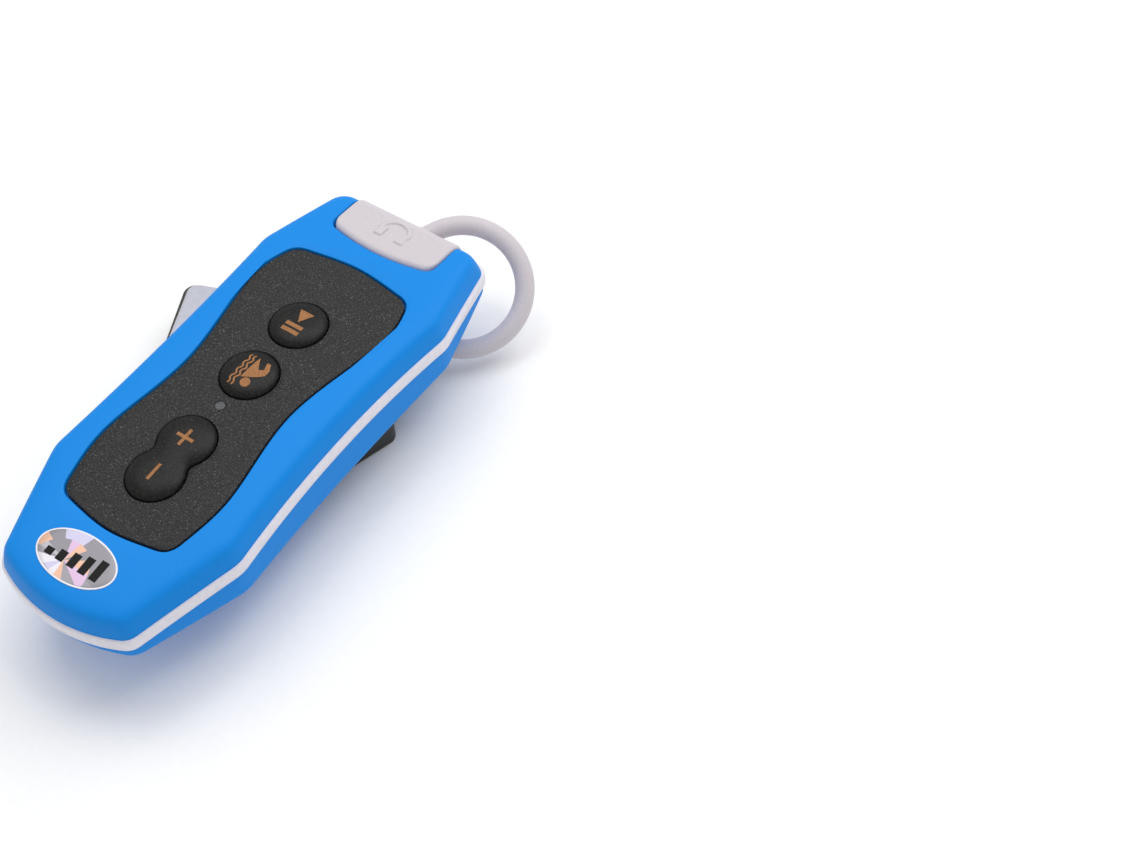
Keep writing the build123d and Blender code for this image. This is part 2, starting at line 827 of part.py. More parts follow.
def clip_arm():
    lip_start = jaw_reach - jaw_lip
    lip_top = base_bottom - jaw_pad_thickness - run_gap
    points = [
        (-tab_reach - 1, 0),
        (jaw_reach + 1, 0),
        (jaw_reach + 1, lip_top),
        (lip_start + jaw_ramp, lip_top),
        (lip_start, arm_thickness),
        (-tab_reach - 1, arm_thickness),
    ]
    arm = prism(clip_outline(), -1, seam_level) & bar_along_y(points)
    arm = fillet(arm.faces().sort_by(Axis.Z)[0].edges(), arm_round)
    for index in range(grip_count):
        groove_x = -grip_first_reach - grip_pitch * index
        groove = Pos(groove_x, clip_y + grip_in_y, 0) * SlotOverall(2 * grip_half_length, grip_width, 90)
        arm = arm - prism(groove, -1, grip_depth)
    for sign in (-1, 1):
        y = hinge_y + sign * (pin_length / 2 - 1.5 * lug_thickness - 2 * run_gap)
        body, bore = lug(y, lug_thickness, pin_radius + run_gap, arm_thickness - clear)
        arm = arm + body - bore
    return arm


def jaw_pad():
    lip_start = jaw_reach - jaw_lip + jaw_ramp
    low = base_bottom - jaw_pad_thickness - run_gap
    pad = prism(clip_outline(-jaw_pad_inset), low, low + jaw_pad_thickness)
    keep = Pos(lip_start + jaw_pad_margin + jaw_lip, clip_y, low)
    pad = pad & (keep * Box(2 * jaw_lip, 4 * tab_shoulder_y, 2 * jaw_gap))
    for index in range(groove_count):
        groove_x = lip_start + groove_first + groove_pitch * index
        groove = Pos(groove_x, clip_y, low + jaw_pad_thickness)
        pad = pad - groove * Box(groove_width, 4 * tab_shoulder_y, 2 * groove_depth)
    return pad


def clip_pin():
    return Pos(hinge_x, hinge_y, hinge_level) * Rot(90, 0, 0) * Cylinder(pin_radius, pin_length)


def clip_spring():
    """A torsion spring round the pin, with one leg to the base and one to the arm."""
    inner = pin_radius + spring_clear
    outer = inner + 2 * spring_wire
    coil = Cylinder(outer, spring_length) - Cylinder(inner, spring_length)
    coil = Pos(hinge_x, hinge_y, hinge_level) * Rot(90, 0, 0) * coil
    for sign in (-1, 1):
        leg = Pos(
            hinge_x - spring_leg / 2,
            hinge_y + sign * (spring_length / 2 - 2 * spring_wire),
            hinge_level + sign * (outer - 1.5 * spring_wire),
        )
        coil = coil + leg * Box(spring_leg, 2 * spring_wire, 2 * spring_wire)
    return coil


def swivel_washer():
    ring = Pos(0, clip_y) * (Circle(washer_radius) - Circle(swivel_radius + run_gap))
    return prism(ring, base_top + run_gap, boss_bottom)


def swivel_insert():
    centre = Pos(0, clip_y)
    hole = prism(centre * Circle(swivel_thread_radius + fit_gap), boss_bottom, boss_bottom + insert_length - insert_floor)
    return prism(centre * Circle(insert_radius), boss_bottom, boss_bottom + insert_length) - hole


def swivel_screw():
    centre = Pos(0, clip_y)
    head_top = base_bottom - run_gap
    head_face = head_top - swivel_head_height
    head = prism(centre * Circle(swivel_head_radius), head_face, head_top)
    cross = Rectangle(swivel_cross_length, swivel_cross_width)
    cross = cross + Rectangle(swivel_cross_width, swivel_cross_length)
    recess = prism(centre * cross, head_face, head_face + swivel_cross_depth)
    shoulder = prism(centre * Circle(swivel_radius), head_top, boss_bottom)
    thread = prism(centre * Circle(swivel_thread_radius), boss_bottom, boss_bottom + insert_length - thread_short)
    return head + shoulder + thread - recess


def function_sticker():
    oval = Ellipse(sticker_half_width, sticker_half_length)
    oval = Pos(sticker_in_x, bottom_y + sticker_from_bottom) * oval
    film = arched_slab(face_height, face_height + sticker_thickness)
    return prism(oval, seam_level, face_level + beyond) & film


pieces = {
    "front_shell": front_shell(),
    "back_shell": back_shell(),
    "seam_gasket": seam_gasket(),
    "shell_screws": shell_screws(),
    "face_plate": face_plate(),
    "function_sticker": function_sticker(),
    "play_button": round_button(play_y),
    "mode_button": round_button(mode_y),
    "volume_rocker": volume_rocker(),
    "keypad_membrane": keypad_membrane(),
    "led_lens": led_lens(),
    "status_led": status_led(),
    "main_board": main_board(),
    "play_switch": tact_switch(play_y),
    "mode_switch": tact_switch(mode_y),
    "volume_up_switch": tact_switch(rocker_y + rocker_pitch / 2),
    "volume_down_switch": tact_switch(rocker_y - rocker_pitch / 2),
    **{name: chip(*place) for name, place in chip_places.items()},
    "board_passives": board_passives(),
    "battery_cell": battery_cell(),
    "battery_tape": battery_tape(),
    "battery_lead_positive": battery_lead(-lead_x),
    "battery_lead_negative": battery_lead(lead_x),
    "jack_socket": jack_socket(),
    "jack_contacts": jack_contacts(),
    "jack_cover": jack_cover(),
    "jack_plug": jack_plug(),
    "plug_seal": plug_seal(),
    "cover_tether": cover_tether(),
    "tether_anchor": tether_anchor(),
    "swivel_insert": swivel_insert(),
    "swivel_washer": swivel_washer(),
    "swivel_screw": swivel_screw(),
    "clip_base": clip_base(),
    "tab_cover": tab_cover(),
    "clip_pin": clip_pin(),
    "clip_spring": clip_spring(),
    "clip_arm": clip_arm(),
    "jaw_pad": jaw_pad(),
}

os.makedirs("parts", exist_ok=True)
for name, shape in pieces.items():
    export_step(shape, f"parts/{name}.step")
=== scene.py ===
import math

import bmesh
import bpy
from mathutils import Matrix, Vector


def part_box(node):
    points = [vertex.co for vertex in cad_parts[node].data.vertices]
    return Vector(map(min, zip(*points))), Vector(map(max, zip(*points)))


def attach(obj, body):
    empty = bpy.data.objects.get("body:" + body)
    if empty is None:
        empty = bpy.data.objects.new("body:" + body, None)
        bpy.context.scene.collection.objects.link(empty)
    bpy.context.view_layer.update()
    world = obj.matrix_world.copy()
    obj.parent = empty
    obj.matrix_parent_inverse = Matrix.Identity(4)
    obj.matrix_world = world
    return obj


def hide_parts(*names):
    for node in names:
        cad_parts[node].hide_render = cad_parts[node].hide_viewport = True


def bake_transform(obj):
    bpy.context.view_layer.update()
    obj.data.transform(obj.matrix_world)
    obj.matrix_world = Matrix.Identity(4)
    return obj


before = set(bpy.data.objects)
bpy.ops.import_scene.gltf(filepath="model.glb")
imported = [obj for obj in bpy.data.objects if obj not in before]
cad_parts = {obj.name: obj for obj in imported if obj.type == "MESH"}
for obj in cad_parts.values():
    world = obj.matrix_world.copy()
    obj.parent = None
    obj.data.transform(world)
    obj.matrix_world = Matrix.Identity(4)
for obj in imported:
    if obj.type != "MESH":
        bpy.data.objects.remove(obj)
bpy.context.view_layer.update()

# ---- Camera ----------------------------------------------------------------------------
# A long-lens product shot from above the lower right corner of the player, which lies on
# its clip with the jack end pointing away to the upper right. The player fills the left.
camera_data = bpy.data.cameras.new("product_camera")
camera_data.lens = 63.17
camera_data.sensor_width = 36.0
camera_data.clip_start = 0.01
camera = bpy.data.objects.new("product_camera", camera_data)
camera.location = (0.141962, -0.105933, 0.230738)
camera.rotation_euler = [math.radians(angle) for angle in (36.956, 3.217, 34.449)]
bpy.context.collection.objects.link(camera)
bpy.context.scene.camera = camera
bpy.context.scene.view_settings.view_transform = "Standard"
bpy.context.scene.view_settings.look = "None"


# ---- Studio ----------------------------------------------------------------------------
# A white laminate sheet under one large softbox at the jack end and a weaker one high at the
# left, with white walls all round. Laminate is smooth and a little glossy, and the softboxes
# are big against the player, so its shadow stays faint.
MM = 0.001


def linear(hex_colour):
    """A hex sRGB colour as the linear RGBA that a shader reads."""
    values = [int(hex_colour[i:i + 2], 16) / 255 for i in (1, 3, 5)]
    return [v / 12.92 if v <= 0.04045 else ((v + 0.055) / 1.055) ** 2.4 for v in values] + [1.0]


def add_node(material, kind, settings=None, links=None):
    """One node in the material, with its values set and its inputs joined."""
    tree = material.node_tree
    node = tree.nodes.new(kind)
    for name, value in (settings or {}).items():
        if isinstance(name, int) or name in node.inputs:
            node.inputs[name].default_value = value
        else:
            setattr(node, name, value)
    for name, source in (links or {}).items():
        tree.links.new(source, node.inputs[name])
    return node


def new_finish(name, hex_colour, roughness, ior=1.5, specular=0.5, **sockets):
    """A material with one principled shader, whose constants sit on its own sockets."""
    material = bpy.data.materials.new(name)
    material.use_nodes = True
    shader = material.node_tree.nodes["Principled BSDF"]
    shader.inputs["Base Color"].default_value = linear(hex_colour)
    shader.inputs["Roughness"].default_value = roughness
    shader.inputs["IOR"].default_value = ior
    shader.inputs["Specular IOR Level"].default_value = specular
    for socket, value in sockets.items():
        shader.inputs[socket.replace("_", " ").title()].default_value = value
    material.diffuse_color = linear(hex_colour)
    return material, shader


def add_grain(material, shader, grain_mm, depth_mm, strength=1.0, detail=3.0):
    """A fine moulded or sprayed texture: noise of one grain size, as bump."""
    where = add_node(material, "ShaderNodeTexCoord")
    noise = add_node(
        material, "ShaderNodeTexNoise",
        {"Scale": 1 / (grain_mm * MM), "Detail": detail, "Roughness": 0.6},
        {"Vector": where.outputs["Object"]},
    )
    bump = add_node(
        material, "ShaderNodeBump",
        {"Strength": strength, "Distance": depth_mm * MM},
        {"Height": noise.outputs["Fac"]},
    )
    material.node_tree.links.new(bump.outputs["Normal"], shader.inputs["Normal"])
    return noise


def tint_by(material, shader, factor, low_hex, high_hex, low=0.35, high=0.65):
    """Drives the base colour between two close colours by a 0 to 1 factor."""
    ramp = add_node(material, "ShaderNodeValToRGB", links={"Fac": factor})
    ramp.color_ramp.elements[0].position = low
    ramp.color_ramp.elements[0].color = linear(low_hex)
    ramp.color_ramp.elements[1].position = high
    ramp.color_ramp.elements[1].color = linear(high_hex)
    material.node_tree.links.new(ramp.outputs["Color"], shader.inputs["Base Color"])
    return ramp


def grained_finish(name, hex_colour, roughness, grain, tints, **shader_values):
    """A finish whose one grain gives both its bump and its slight change of colour."""
    material, shader = new_finish(name, hex_colour, roughness, **shader_values)
    noise = add_grain(material, shader, *grain)
    tint_by(material, shader, noise.outputs["Fac"], *tints)
    return material


laminate = grained_finish("white_laminate_sheet", "#FDFDFD", 0.55, (1.5, 0.02), ("#FCFCFC", "#FEFEFE"))

sheet_half = 1.5
sheet_clear = 0.05 * MM
sheet_mesh = bpy.data.meshes.new("laminate_sheet")
sheet_mesh.from_pydata(
    [(x * sheet_half, y * sheet_half, -sheet_clear) for x, y in ((-1, -1), (1, -1), (1, 1), (-1, 1))],
    [], [(0, 1, 2, 3)],
)
sheet = bpy.data.objects.new("laminate_sheet", sheet_mesh)
sheet.data.materials.append(laminate)
bpy.context.collection.objects.link(sheet)

world = bpy.data.worlds.new("white_walls")
world.use_nodes = True
world.node_tree.nodes["Background"].inputs["Color"].default_value = linear("#FFFFFF")
world.node_tree.nodes["Background"].inputs["Strength"].default_value = 0.62
bpy.context.scene.world = world

for light_name, place, size, power in (
    ("end_softbox", (0.12, 0.42, 0.62), 0.55, 2.3),
    ("top_softbox", (-0.24, 0.14, 0.62), 0.36, 1.0),
):
    light_data = bpy.data.lights.new(light_name, "AREA")
    light_data.shape = "SQUARE"
    light_data.size = size
    light_data.energy = power
    light = bpy.data.objects.new(light_name, light_data)
    light.location = place
    light.rotation_euler = (-Vector(place)).to_track_quat("-Z", "Y").to_euler()
    bpy.context.collection.objects.link(light)


# ---- Front shell -----------------------------------------------------------------------
# The upper half of the housing, moulded in blue ABS and spray-coated with a soft-touch
# lacquer, so it is smooth and satin with no sharp edge. It is arched end to end, waisted at
# the sides, recessed for the face plate, and held by four screws from behind.
shell_low, shell_high = (Vector(corner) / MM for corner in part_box("front_shell"))
_, gasket_high = (Vector(corner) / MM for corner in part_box("seam_gasket"))
belly_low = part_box("back_shell")[0][2] / MM
end_y = shell_high.y
side_x = shell_high.x
face_level = shell_high.z
face_height = 3.6
seam_level = face_level - face_height
seam_drop = seam_level - shell_low.z
arch_radius = (end_y ** 2 + seam_drop ** 2) / (2 * seam_drop)
wall = 1.4
face_wall = 2.2
corner_points = 7


def drop(y):
    """How far the arched seam has fallen at this distance from the middle."""
    return arch_radius - math.sqrt(arch_radius ** 2 - y ** 2)


def make_edge(start, end, bow):
    """An outline's edge: a line, or an arc that bows out by the given height."""
    chord = end - start
    inward = Vector((-chord.y, chord.x)).normalized()
    if abs(bow) < 1e-6:
        return "line", start, inward
    radius = (chord.length_squared / 4 + bow ** 2) / (2 * abs(bow))
    side = 1 if bow > 0 else -1
    centre = (start + end) / 2 + inward * side * (radius - abs(bow))
    return "arc", centre, radius, side


def depth_in(edge, point):
    """How far inside the edge a point lies, and the direction that leads further in."""
    if edge[0] == "line":
        return (point - edge[1]).dot(edge[2]), edge[2]
    away = point - edge[1]
    return edge[3] * (edge[2] - away.length), away.normalized() * -edge[3]


def meet(first, second, depth, guess):
    """The point that lies equally deep inside two edges."""
    point = guess.copy()
    for _ in range(12):
        d1, n1 = depth_in(first, point)
        d2, n2 = depth_in(second, point)
        across = n1.x * n2.y - n1.y * n2.x
        r1, r2 = depth - d1, depth - d2
        point += Vector(((r1 * n2.y - r2 * n1.y) / across, (r2 * n1.x - r1 * n2.x) / across))
    return point


def outline(corners, inset=0.0):
    """A closed outline moved inwards. Each corner is x, y, round, and its next edge's bow and points."""
    spots = [Vector(corner[:2]) for corner in corners]
    count = len(corners)
    edges = [make_edge(spots[i], spots[(i + 1) % count], corners[i][3]) for i in range(count)]
    bends = []
    for i, corner in enumerate(corners):
        centre = meet(edges[i - 1], edges[i], inset + corner[2], spots[i])
        first = -depth_in(edges[i - 1], centre)[1]
        last = -depth_in(edges[i], centre)[1]
        turn = first.angle_signed(last)
        bend = []
        for step in range(corner_points):
            direction = first.copy()
            direction.rotate(Matrix.Rotation(-turn * step / (corner_points - 1), 2))
            bend.append(centre + direction * corner[2])
        bends.append(bend)
    points = []
    for i, corner in enumerate(corners):
        points += bends[i]
        start, end = bends[i][-1], bends[(i + 1) % count][0]
        steps = corner[4] + 1
        for step in range(1, steps):
            point = start.lerp(end, step / steps)
            if edges[i][0] == "arc":
                away = point - edges[i][1]
                point = edges[i][1] + away.normalized() * (start - edges[i][1]).length
            points.append(point)
    return points


def both_sides(right_half):
    """Mirrors the right half's corners, listed from the far end, into a whole outline."""
    left = [(-x, y) for x, y, *_ in right_half]
    rounds = [corner[2] for corner in right_half]
    edges = [corner[3:] for corner in right_half]
    whole = [(*left[i], rounds[i], *edges[i]) for i in range(len(left))]
    for i in range(len(right_half) - 1, -1, -1):
        next_edge = edges[i - 1]
        whole.append((*right_half[i][:2], rounds[i], *next_edge))
    return whole


def body_corners():
    """The housing's corners: shoulders and hips on each side, with a waist between them."""
    hip_round = 6.0
    right = [
        (12.9, end_y, 2.6, 0.0, 9),
        (side_x, 24.3, hip_round, -1.05, 44),
        (side_x, -20.1, hip_round, 0.0, 15),
        (11.3, -36.3, 2.6, 2.7, 25),
    ]
    return both_sides(right)[:-1] + [(12.9, end_y, 2.6, 0.0, 25)]


def build_mesh(name, vertices, faces, material, sharp=38.0):
    """A piece from vertices in millimetres, with its normals set and its hard edges kept."""
    mesh = bpy.data.meshes.new(name)
    shape = bmesh.new()
    made = [shape.verts.new(Vector(v) * MM) for v in vertices]
    for face in faces:
        shape.faces.new([made[i] for i in face])
    bmesh.ops.remove_doubles(shape, verts=shape.verts, dist=1e-7)
    bmesh.ops.recalc_face_normals(shape, faces=shape.faces)
    shape.to_mesh(mesh)
    shape.free()
    mesh.shade_smooth()
    mesh.set_sharp_from_angle(angle=math.radians(sharp))
    mesh.materials.append(material)
    piece = bpy.data.objects.new(name, mesh)
    bpy.context.collection.objects.link(piece)
    return piece


def skin(rings, closed=False):
    """Faces that join rings of equal length, each to the next."""
    size = len(rings[0])
    faces = []
    for r in range(len(rings) if closed else len(rings) - 1):
        here, there = r * size, ((r + 1) % len(rings)) * size
        for i in range(size):
            j = (i + 1) % size
            faces.append((here + i, here + j, there + j, there + i))
    return [point for ring in rings for point in ring], faces


def on_arch(points, height):
    """Plan points laid at a height over the arched seam."""
    return [(p[0], p[1], seam_level + height - drop(p[1])) for p in points]


def through(points, steps):
    """A smooth curve through the points, by the centripetal Catmull-Rom formula."""
    spots = [Vector(p) for p in points]
    spots = [2 * spots[0] - spots[1]] + spots + [2 * spots[-1] - spots[-2]]
    curve = []
    for i in range(1, len(spots) - 2):
        p = spots[i - 1:i + 3]
        t = [0.0]
        for k in range(3):
            t.append(t[k] + math.sqrt((p[k + 1] - p[k]).length))
        for step in range(steps):
            s = t[1] + (t[2] - t[1]) * step / steps
            a = [p[k] * (t[k + 1] - s) / (t[k + 1] - t[k]) + p[k + 1] * (s - t[k]) / (t[k + 1] - t[k])
                 for k in range(3)]
            b = [a[k] * (t[k + 2] - s) / (t[k + 2] - t[k]) + a[k + 1] * (s - t[k]) / (t[k + 2] - t[k])
                 for k in range(2)]
            curve.append(b[0] * (t[2] - s) / (t[2] - t[1]) + b[1] * (s - t[1]) / (t[2] - t[1]))
    return curve + [spots[-2]]


def rounded_corner(before, corner, after, radius):
    """The points of an arc-like bend between two neighbours of a corner."""
    start = corner + (before - corner).normalized() * radius
    end = corner + (after - corner).normalized() * radius
    bend = []
    for step in range(9):
        t = step / 8
        bend.append(start * (1 - t) ** 2 + corner * 2 * t * (1 - t) + end * t ** 2)
    return bend


def plate_side():
    """The plate's right side, from the middle of its far end to the middle of its near end."""
    high, low = 26.1, -26.4
    top_corner, bottom_corner = Vector((10.2, high - 1.3)), Vector((9.4, low + 1.3))
    top_arc = through([(-10.2, high - 1.3), (0.0, high), top_corner], 20)[20:]
    side = through([top_corner, (11.6, high - 7.6), (9.0, 0.0), (10.8, low + 10.4), bottom_corner], 14)
    bottom_arc = through([bottom_corner, (0.0, low), (-9.4, low + 1.3)], 20)[:21]
    round_by = 1.9
    first = [p for p in top_arc if (p - top_corner).length > round_by]
    middle = [p for p in side if (p - top_corner).length > round_by and (p - bottom_corner).length > round_by]
    last = [p for p in bottom_arc if (p - bottom_corner).length > round_by]
    upper_bend = rounded_corner(first[-1], top_corner, middle[0], round_by)
    lower_bend = rounded_corner(middle[-1], bottom_corner, last[0], round_by)
    return first + upper_bend + middle + lower_bend + last


def lengths_along(path):
    """The distance from the start of a path to each of its points."""
    lengths = [0.0]
    for a, b in zip(path, path[1:]):
        lengths.append(lengths[-1] + (b - a).length)
    return lengths


def spread(path, shares):
    """Points along a path at the given shares of its length."""
    lengths = lengths_along(path)
    points = []
    k = 0
    for share in shares:
        goal = share * lengths[-1]
        while k < len(path) - 2 and lengths[k + 1] < goal:
            k += 1
        gap = lengths[k + 1] - lengths[k]
        points.append(path[k].lerp(path[k + 1], (goal - lengths[k]) / gap))
    return points


def moved_out(points, grow):
    """A closed anticlockwise outline moved outwards along its own normals."""
    count = len(points)
    moved = []
    for i in range(count):
        along = points[(i + 1) % count] - points[i - 1]
        moved.append(points[i] + Vector((along.y, -along.x)).normalized() * grow)
    return moved


def shares_near(path, lengths, targets):
    """The shares of a path's length at which it comes nearest to each target."""
    nearest = [min(range(len(path)), key=lambda k: (path[k] - Vector(t)).length) for t in targets]
    return [0.0] + [lengths[k] / lengths[-1] for k in nearest] + [1.0]


def plate_outline(like):
    """The plate's outline, with one point for each point of the housing's outline."""
    right = plate_side()
    left = [Vector((-p.x, p.y)) for p in right]
    whole = left + right[::-1][1:-1]
    whole.append(whole[0])
    loop = [Vector(p) for p in like]
    start = min(range(len(loop)), key=lambda i: abs(loop[i].x) - loop[i].y)
    loop = loop[start:] + loop[:start]
    rim_places = [(-11.0, 36.5), (-16.0, -1.0), (-10.6, -35.0), (0.0, -39.0)]
    plate_places = [(-10.2, 24.8), (-9.0, -0.5), (-9.4, -25.1), (0.0, -26.4)]
    rim_places += [(-x, y) for x, y in rim_places[2::-1]]
    plate_places += [(-x, y) for x, y in plate_places[2::-1]]
    lengths = lengths_along(loop + loop[:1])
    rim_marks = shares_near(loop, lengths, rim_places)
    plate_marks = shares_near(whole, lengths_along(whole), plate_places)
    shares = []
    for length in lengths[:-1]:
        share = length / lengths[-1]
        k = max(i for i in range(len(rim_marks) - 1) if rim_marks[i] <= share + 1e-9)
        part = (share - rim_marks[k]) / (rim_marks[k + 1] - rim_marks[k])
        shares.append(plate_marks[k] + part * (plate_marks[k + 1] - plate_marks[k]))
    points = spread(whole, shares)
    return points[-start:] + points[:-start] if start else points


def cut_away(piece, cutter):
    """Takes a cutter's space out of a piece, for good, and deletes the cutter."""
    modifier = piece.modifiers.new("cut", "BOOLEAN")
    modifier.operation = "DIFFERENCE"
    modifier.solver = "EXACT"
    modifier.object = cutter
    bpy.context.view_layer.update()
    result = bpy.data.meshes.new_from_object(piece.evaluated_get(bpy.context.evaluated_depsgraph_get()))
    piece.modifiers.clear()
    materials = list(piece.data.materials)
    piece.data = result
    result.materials.clear()
    for material in materials[:1]:
        result.materials.append(material)
    result.polygons.foreach_set("material_index", [0] * len(result.polygons))
    result.name = piece.name
    result.shade_smooth()
    result.set_sharp_from_angle(angle=math.radians(38))
    bpy.data.objects.remove(cutter)


def capped(rings):
    """Rings joined into a closed solid, with a flat cap at each end."""
    points, faces = skin(rings)
    size = len(rings[0])
    faces.append(tuple(range(size)))
    faces.append(tuple(range(len(points) - size, len(points)))[::-1])
    return points, faces


blue_lacquer = grained_finish(
    "soft_touch_blue_lacquer", "#0B87E0", 0.5, (0.12, 0.004, 0.5), ("#0A85DD", "#0D8AE4"), specular=0.16,
)

body = body_corners()
rim_profile = [
    (0.0, 0.0), (0.11, 0.55), (0.25, 1.15), (0.42, 1.78), (0.62, 2.38), (0.86, 2.83), (1.18, 3.14),
    (1.6, 3.34), (2.2, 3.48), (3.1, 3.56), (4.2, face_height),
]
plate_loop = plate_outline(outline(body))
plate_gap = 0.3
lip_round = 0.22
plate_floor = face_height - 1.1
rim_inner = outline(body, rim_profile[-1][0])
recess_edge = moved_out(plate_loop, plate_gap + lip_round)
plate_ledge = 1.6
shell_rings = [on_arch(outline(body, inset), height) for inset, height in rim_profile]
for share in (0.25, 0.5, 0.75):
    shell_rings.append(on_arch([a.lerp(b, share) for a, b in zip(rim_inner, recess_edge)], face_height))
shell_rings.append(on_arch(recess_edge, face_height))
shell_rings.append(on_arch(moved_out(plate_loop, plate_gap + 0.3 * lip_round), face_height - 0.3 * lip_round))
shell_rings.append(on_arch(moved_out(plate_loop, plate_gap), face_height - lip_round))
shell_rings.append(on_arch(moved_out(plate_loop, plate_gap), plate_floor))
shell_rings.append(on_arch(moved_out(plate_loop, -plate_ledge), plate_floor))
shell_rings.append(on_arch(moved_out(plate_loop, -plate_ledge), face_height - face_wall))
shell_rings.append(on_arch(outline(body, wall + 0.6), face_height - face_wall))
shell_rings.append(on_arch(outline(body, wall), 0.8))
shell_rings.append(on_arch(outline(body, wall), 0.0))
front_shell = build_mesh("front_housing", *skin(shell_rings, closed=True), blue_lacquer)


def cover_plan(grow):
    """The jack cover's outline on the face, from its bowed edge to past the housing's end."""
    half, edge_y, past = 9.0 + grow, 31.6 - grow, end_y + 4
    return outline([
        (-half, edge_y, 1.4 + grow, 1.3, 15), (half, edge_y, 1.4 + grow, 0.0, 5),
        (half, past, 0.3, 0.0, 3), (-half, past, 0.3, 0.0, 5),
    ])


def cover_cutter():
    """The space that the jack cover's leaf takes, flared where it leaves the face."""
    gap = 0.15
    levels = [(gap, 1.85), (gap, 3.4), (gap + 0.06, 3.52), (gap + 0.22, 3.62), (gap + 0.4, 5.0)]
    rings = [on_arch(cover_plan(grow), height) for grow, height in levels]
    return build_mesh("cover_cutter", *capped(rings), blue_lacquer)


def end_cutter():
    """The space that the jack cover takes down the housing's end."""
    half, inner_y, low = 9.15, end_y - 1.3, belly_low - 2.0
    plan = [(-half, inner_y), (half, inner_y), (half, end_y + 4), (-half, end_y + 4)]
    rings = [[(x, y, z) for x, y in plan] for z in (low, face_level + 3)]
    return build_mesh("end_cutter", *capped(rings), blue_lacquer)


cut_away(front_shell, cover_cutter())
cut_away(front_shell, end_cutter())
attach(front_shell, "player_body")
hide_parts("front_shell")

# ---- Back shell ------------------------------------------------------------------------
# The lower half of the housing, moulded in the same blue ABS with the same lacquer. Its
# belly is arched less than its seam, with four screw wells and a low round boss that the
# clip's swivel screw turns in.
belly_rise_at_end = 2.4
belly_middle_y = 4.0
gasket_height = 2.1
clip_y = 5.0


def belly_level(y):
    """The belly's level at this distance from the middle."""
    span = end_y - belly_middle_y if y > belly_middle_y else end_y + belly_middle_y
    return boss_level + 0.4 + belly_rise_at_end * ((y - belly_middle_y) / span) ** 2


def belly_ring(points, height):
    """Plan points laid at a height over the arched belly."""
    return [(p[0], p[1], belly_level(p[1]) + height) for p in points]


def round_plan(like, centre, radius):
    """A circle with one point for each point of another outline, at the same bearing."""
    return [centre + (Vector(p) - centre).normalized() * radius for p in like]


boss_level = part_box("swivel_washer")[1][2] / MM
boss_centre = Vector((0.0, clip_y))
insert_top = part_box("swivel_insert")[1][2] / MM
belly_profile = [
    (0.0, 1.8), (0.04, 1.5), (0.2, 1.1), (0.5, 0.7), (0.95, 0.3), (1.5, 0.07), (2.2, 0.0),
]
back_rings = [on_arch(outline(body), -gasket_height), on_arch(outline(body), -gasket_height - 0.2)]
back_rings += [belly_ring(outline(body, inset), height) for inset, height in belly_profile]
belly_inner = outline(body, belly_profile[-1][0])
boss_rim_radius = 7.3
boss_rim = round_plan(belly_inner, boss_centre, boss_rim_radius)
for share in (0.25, 0.5, 0.75, 1.0):
    back_rings.append(belly_ring([a.lerp(b, share) for a, b in zip(belly_inner, boss_rim)], 0.0))
for radius, level in ((6.75, boss_level + 0.3), (6.6, boss_level + 0.1), (6.4, boss_level), (2.6, boss_level),
                      (2.43, boss_level + 0.15), (2.43, insert_top), (0.3, insert_top)):
    back_rings.append([(p.x, p.y, level) for p in round_plan(belly_inner, boss_centre, radius)])
insert_cap, insert_wall_radius = 0.6, 3.6
for radius, level in ((0.3, insert_top + insert_cap), (insert_wall_radius, insert_top + insert_cap)):
    back_rings.append([(p.x, p.y, level) for p in round_plan(belly_inner, boss_centre, radius)])
back_rings.append(belly_ring(round_plan(belly_inner, boss_centre, insert_wall_radius), wall))
back_rings.append(belly_ring(outline(body, wall + 1.6), wall))
back_rings.append(belly_ring(outline(body, wall), wall + 1.0))
back_rings.append(on_arch(outline(body, wall), -gasket_height))
back_shell = build_mesh("back_housing", *skin(back_rings, closed=True), blue_lacquer)
screw_spots = [(11.2, 26.5), (-11.2, 26.5), (10.4, -27.0), (-10.4, -27.0)]


def turned(profile, place, turns=40):
    """Rings of a lathe-turned shape: radius and level pairs about an upright axis."""
    angles = [2 * math.pi * i / turns for i in range(turns)]
    return [
        [(place[0] + radius * math.cos(a), place[1] + radius * math.sin(a), level) for a in angles]
        for radius, level in profile
    ]


for x, y in screw_spots:
    mouth = belly_level(y)
    well = [
        (2.1, mouth - 1.5), (1.75, mouth - 0.12), (1.58, mouth + 0.06), (1.5, mouth + 0.3),
        (1.5, mouth + 1.4),
    ]
    cut_away(back_shell, build_mesh("well_cutter", *capped(turned(well, (x, y))), blue_lacquer))
cut_away(back_shell, end_cutter())
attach(back_shell, "player_body")
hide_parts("back_shell")


# ---- Seam gasket -----------------------------------------------------------------------
# A white thermoplastic elastomer band moulded as one ring and clamped between the two
# shells. It stands a little proud of them with a rounded face, and it has a gloss that the
# lacquered shells lack, because it comes straight from a polished mould.
gasket_white = grained_finish(
    "white_elastomer", "#E4E1EA", 0.28, (0.8, 0.004, 0.25), ("#E0DDE7", "#E8E5ED"),
    coat_weight=0.2, coat_roughness=0.15,
)
proud = gasket_high.x - side_x
gasket_profile = [
    (wall, 0.0), (0.1, 0.0), (-0.55 * proud, -0.02), (-0.85 * proud, -0.16), (-proud, -0.5),
    (-proud, -1.05), (-proud, -1.6), (-0.85 * proud, -1.94), (-0.55 * proud, -2.08),
    (0.1, -gasket_height), (wall, -gasket_height),
]
gasket_rings = [on_arch(outline(body, inset), height) for inset, height in gasket_profile]
gasket = build_mesh("white_seam_band", *skin(gasket_rings, closed=True), gasket_white)
cut_away(gasket, end_cutter())
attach(gasket, "player_body")
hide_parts("seam_gasket")


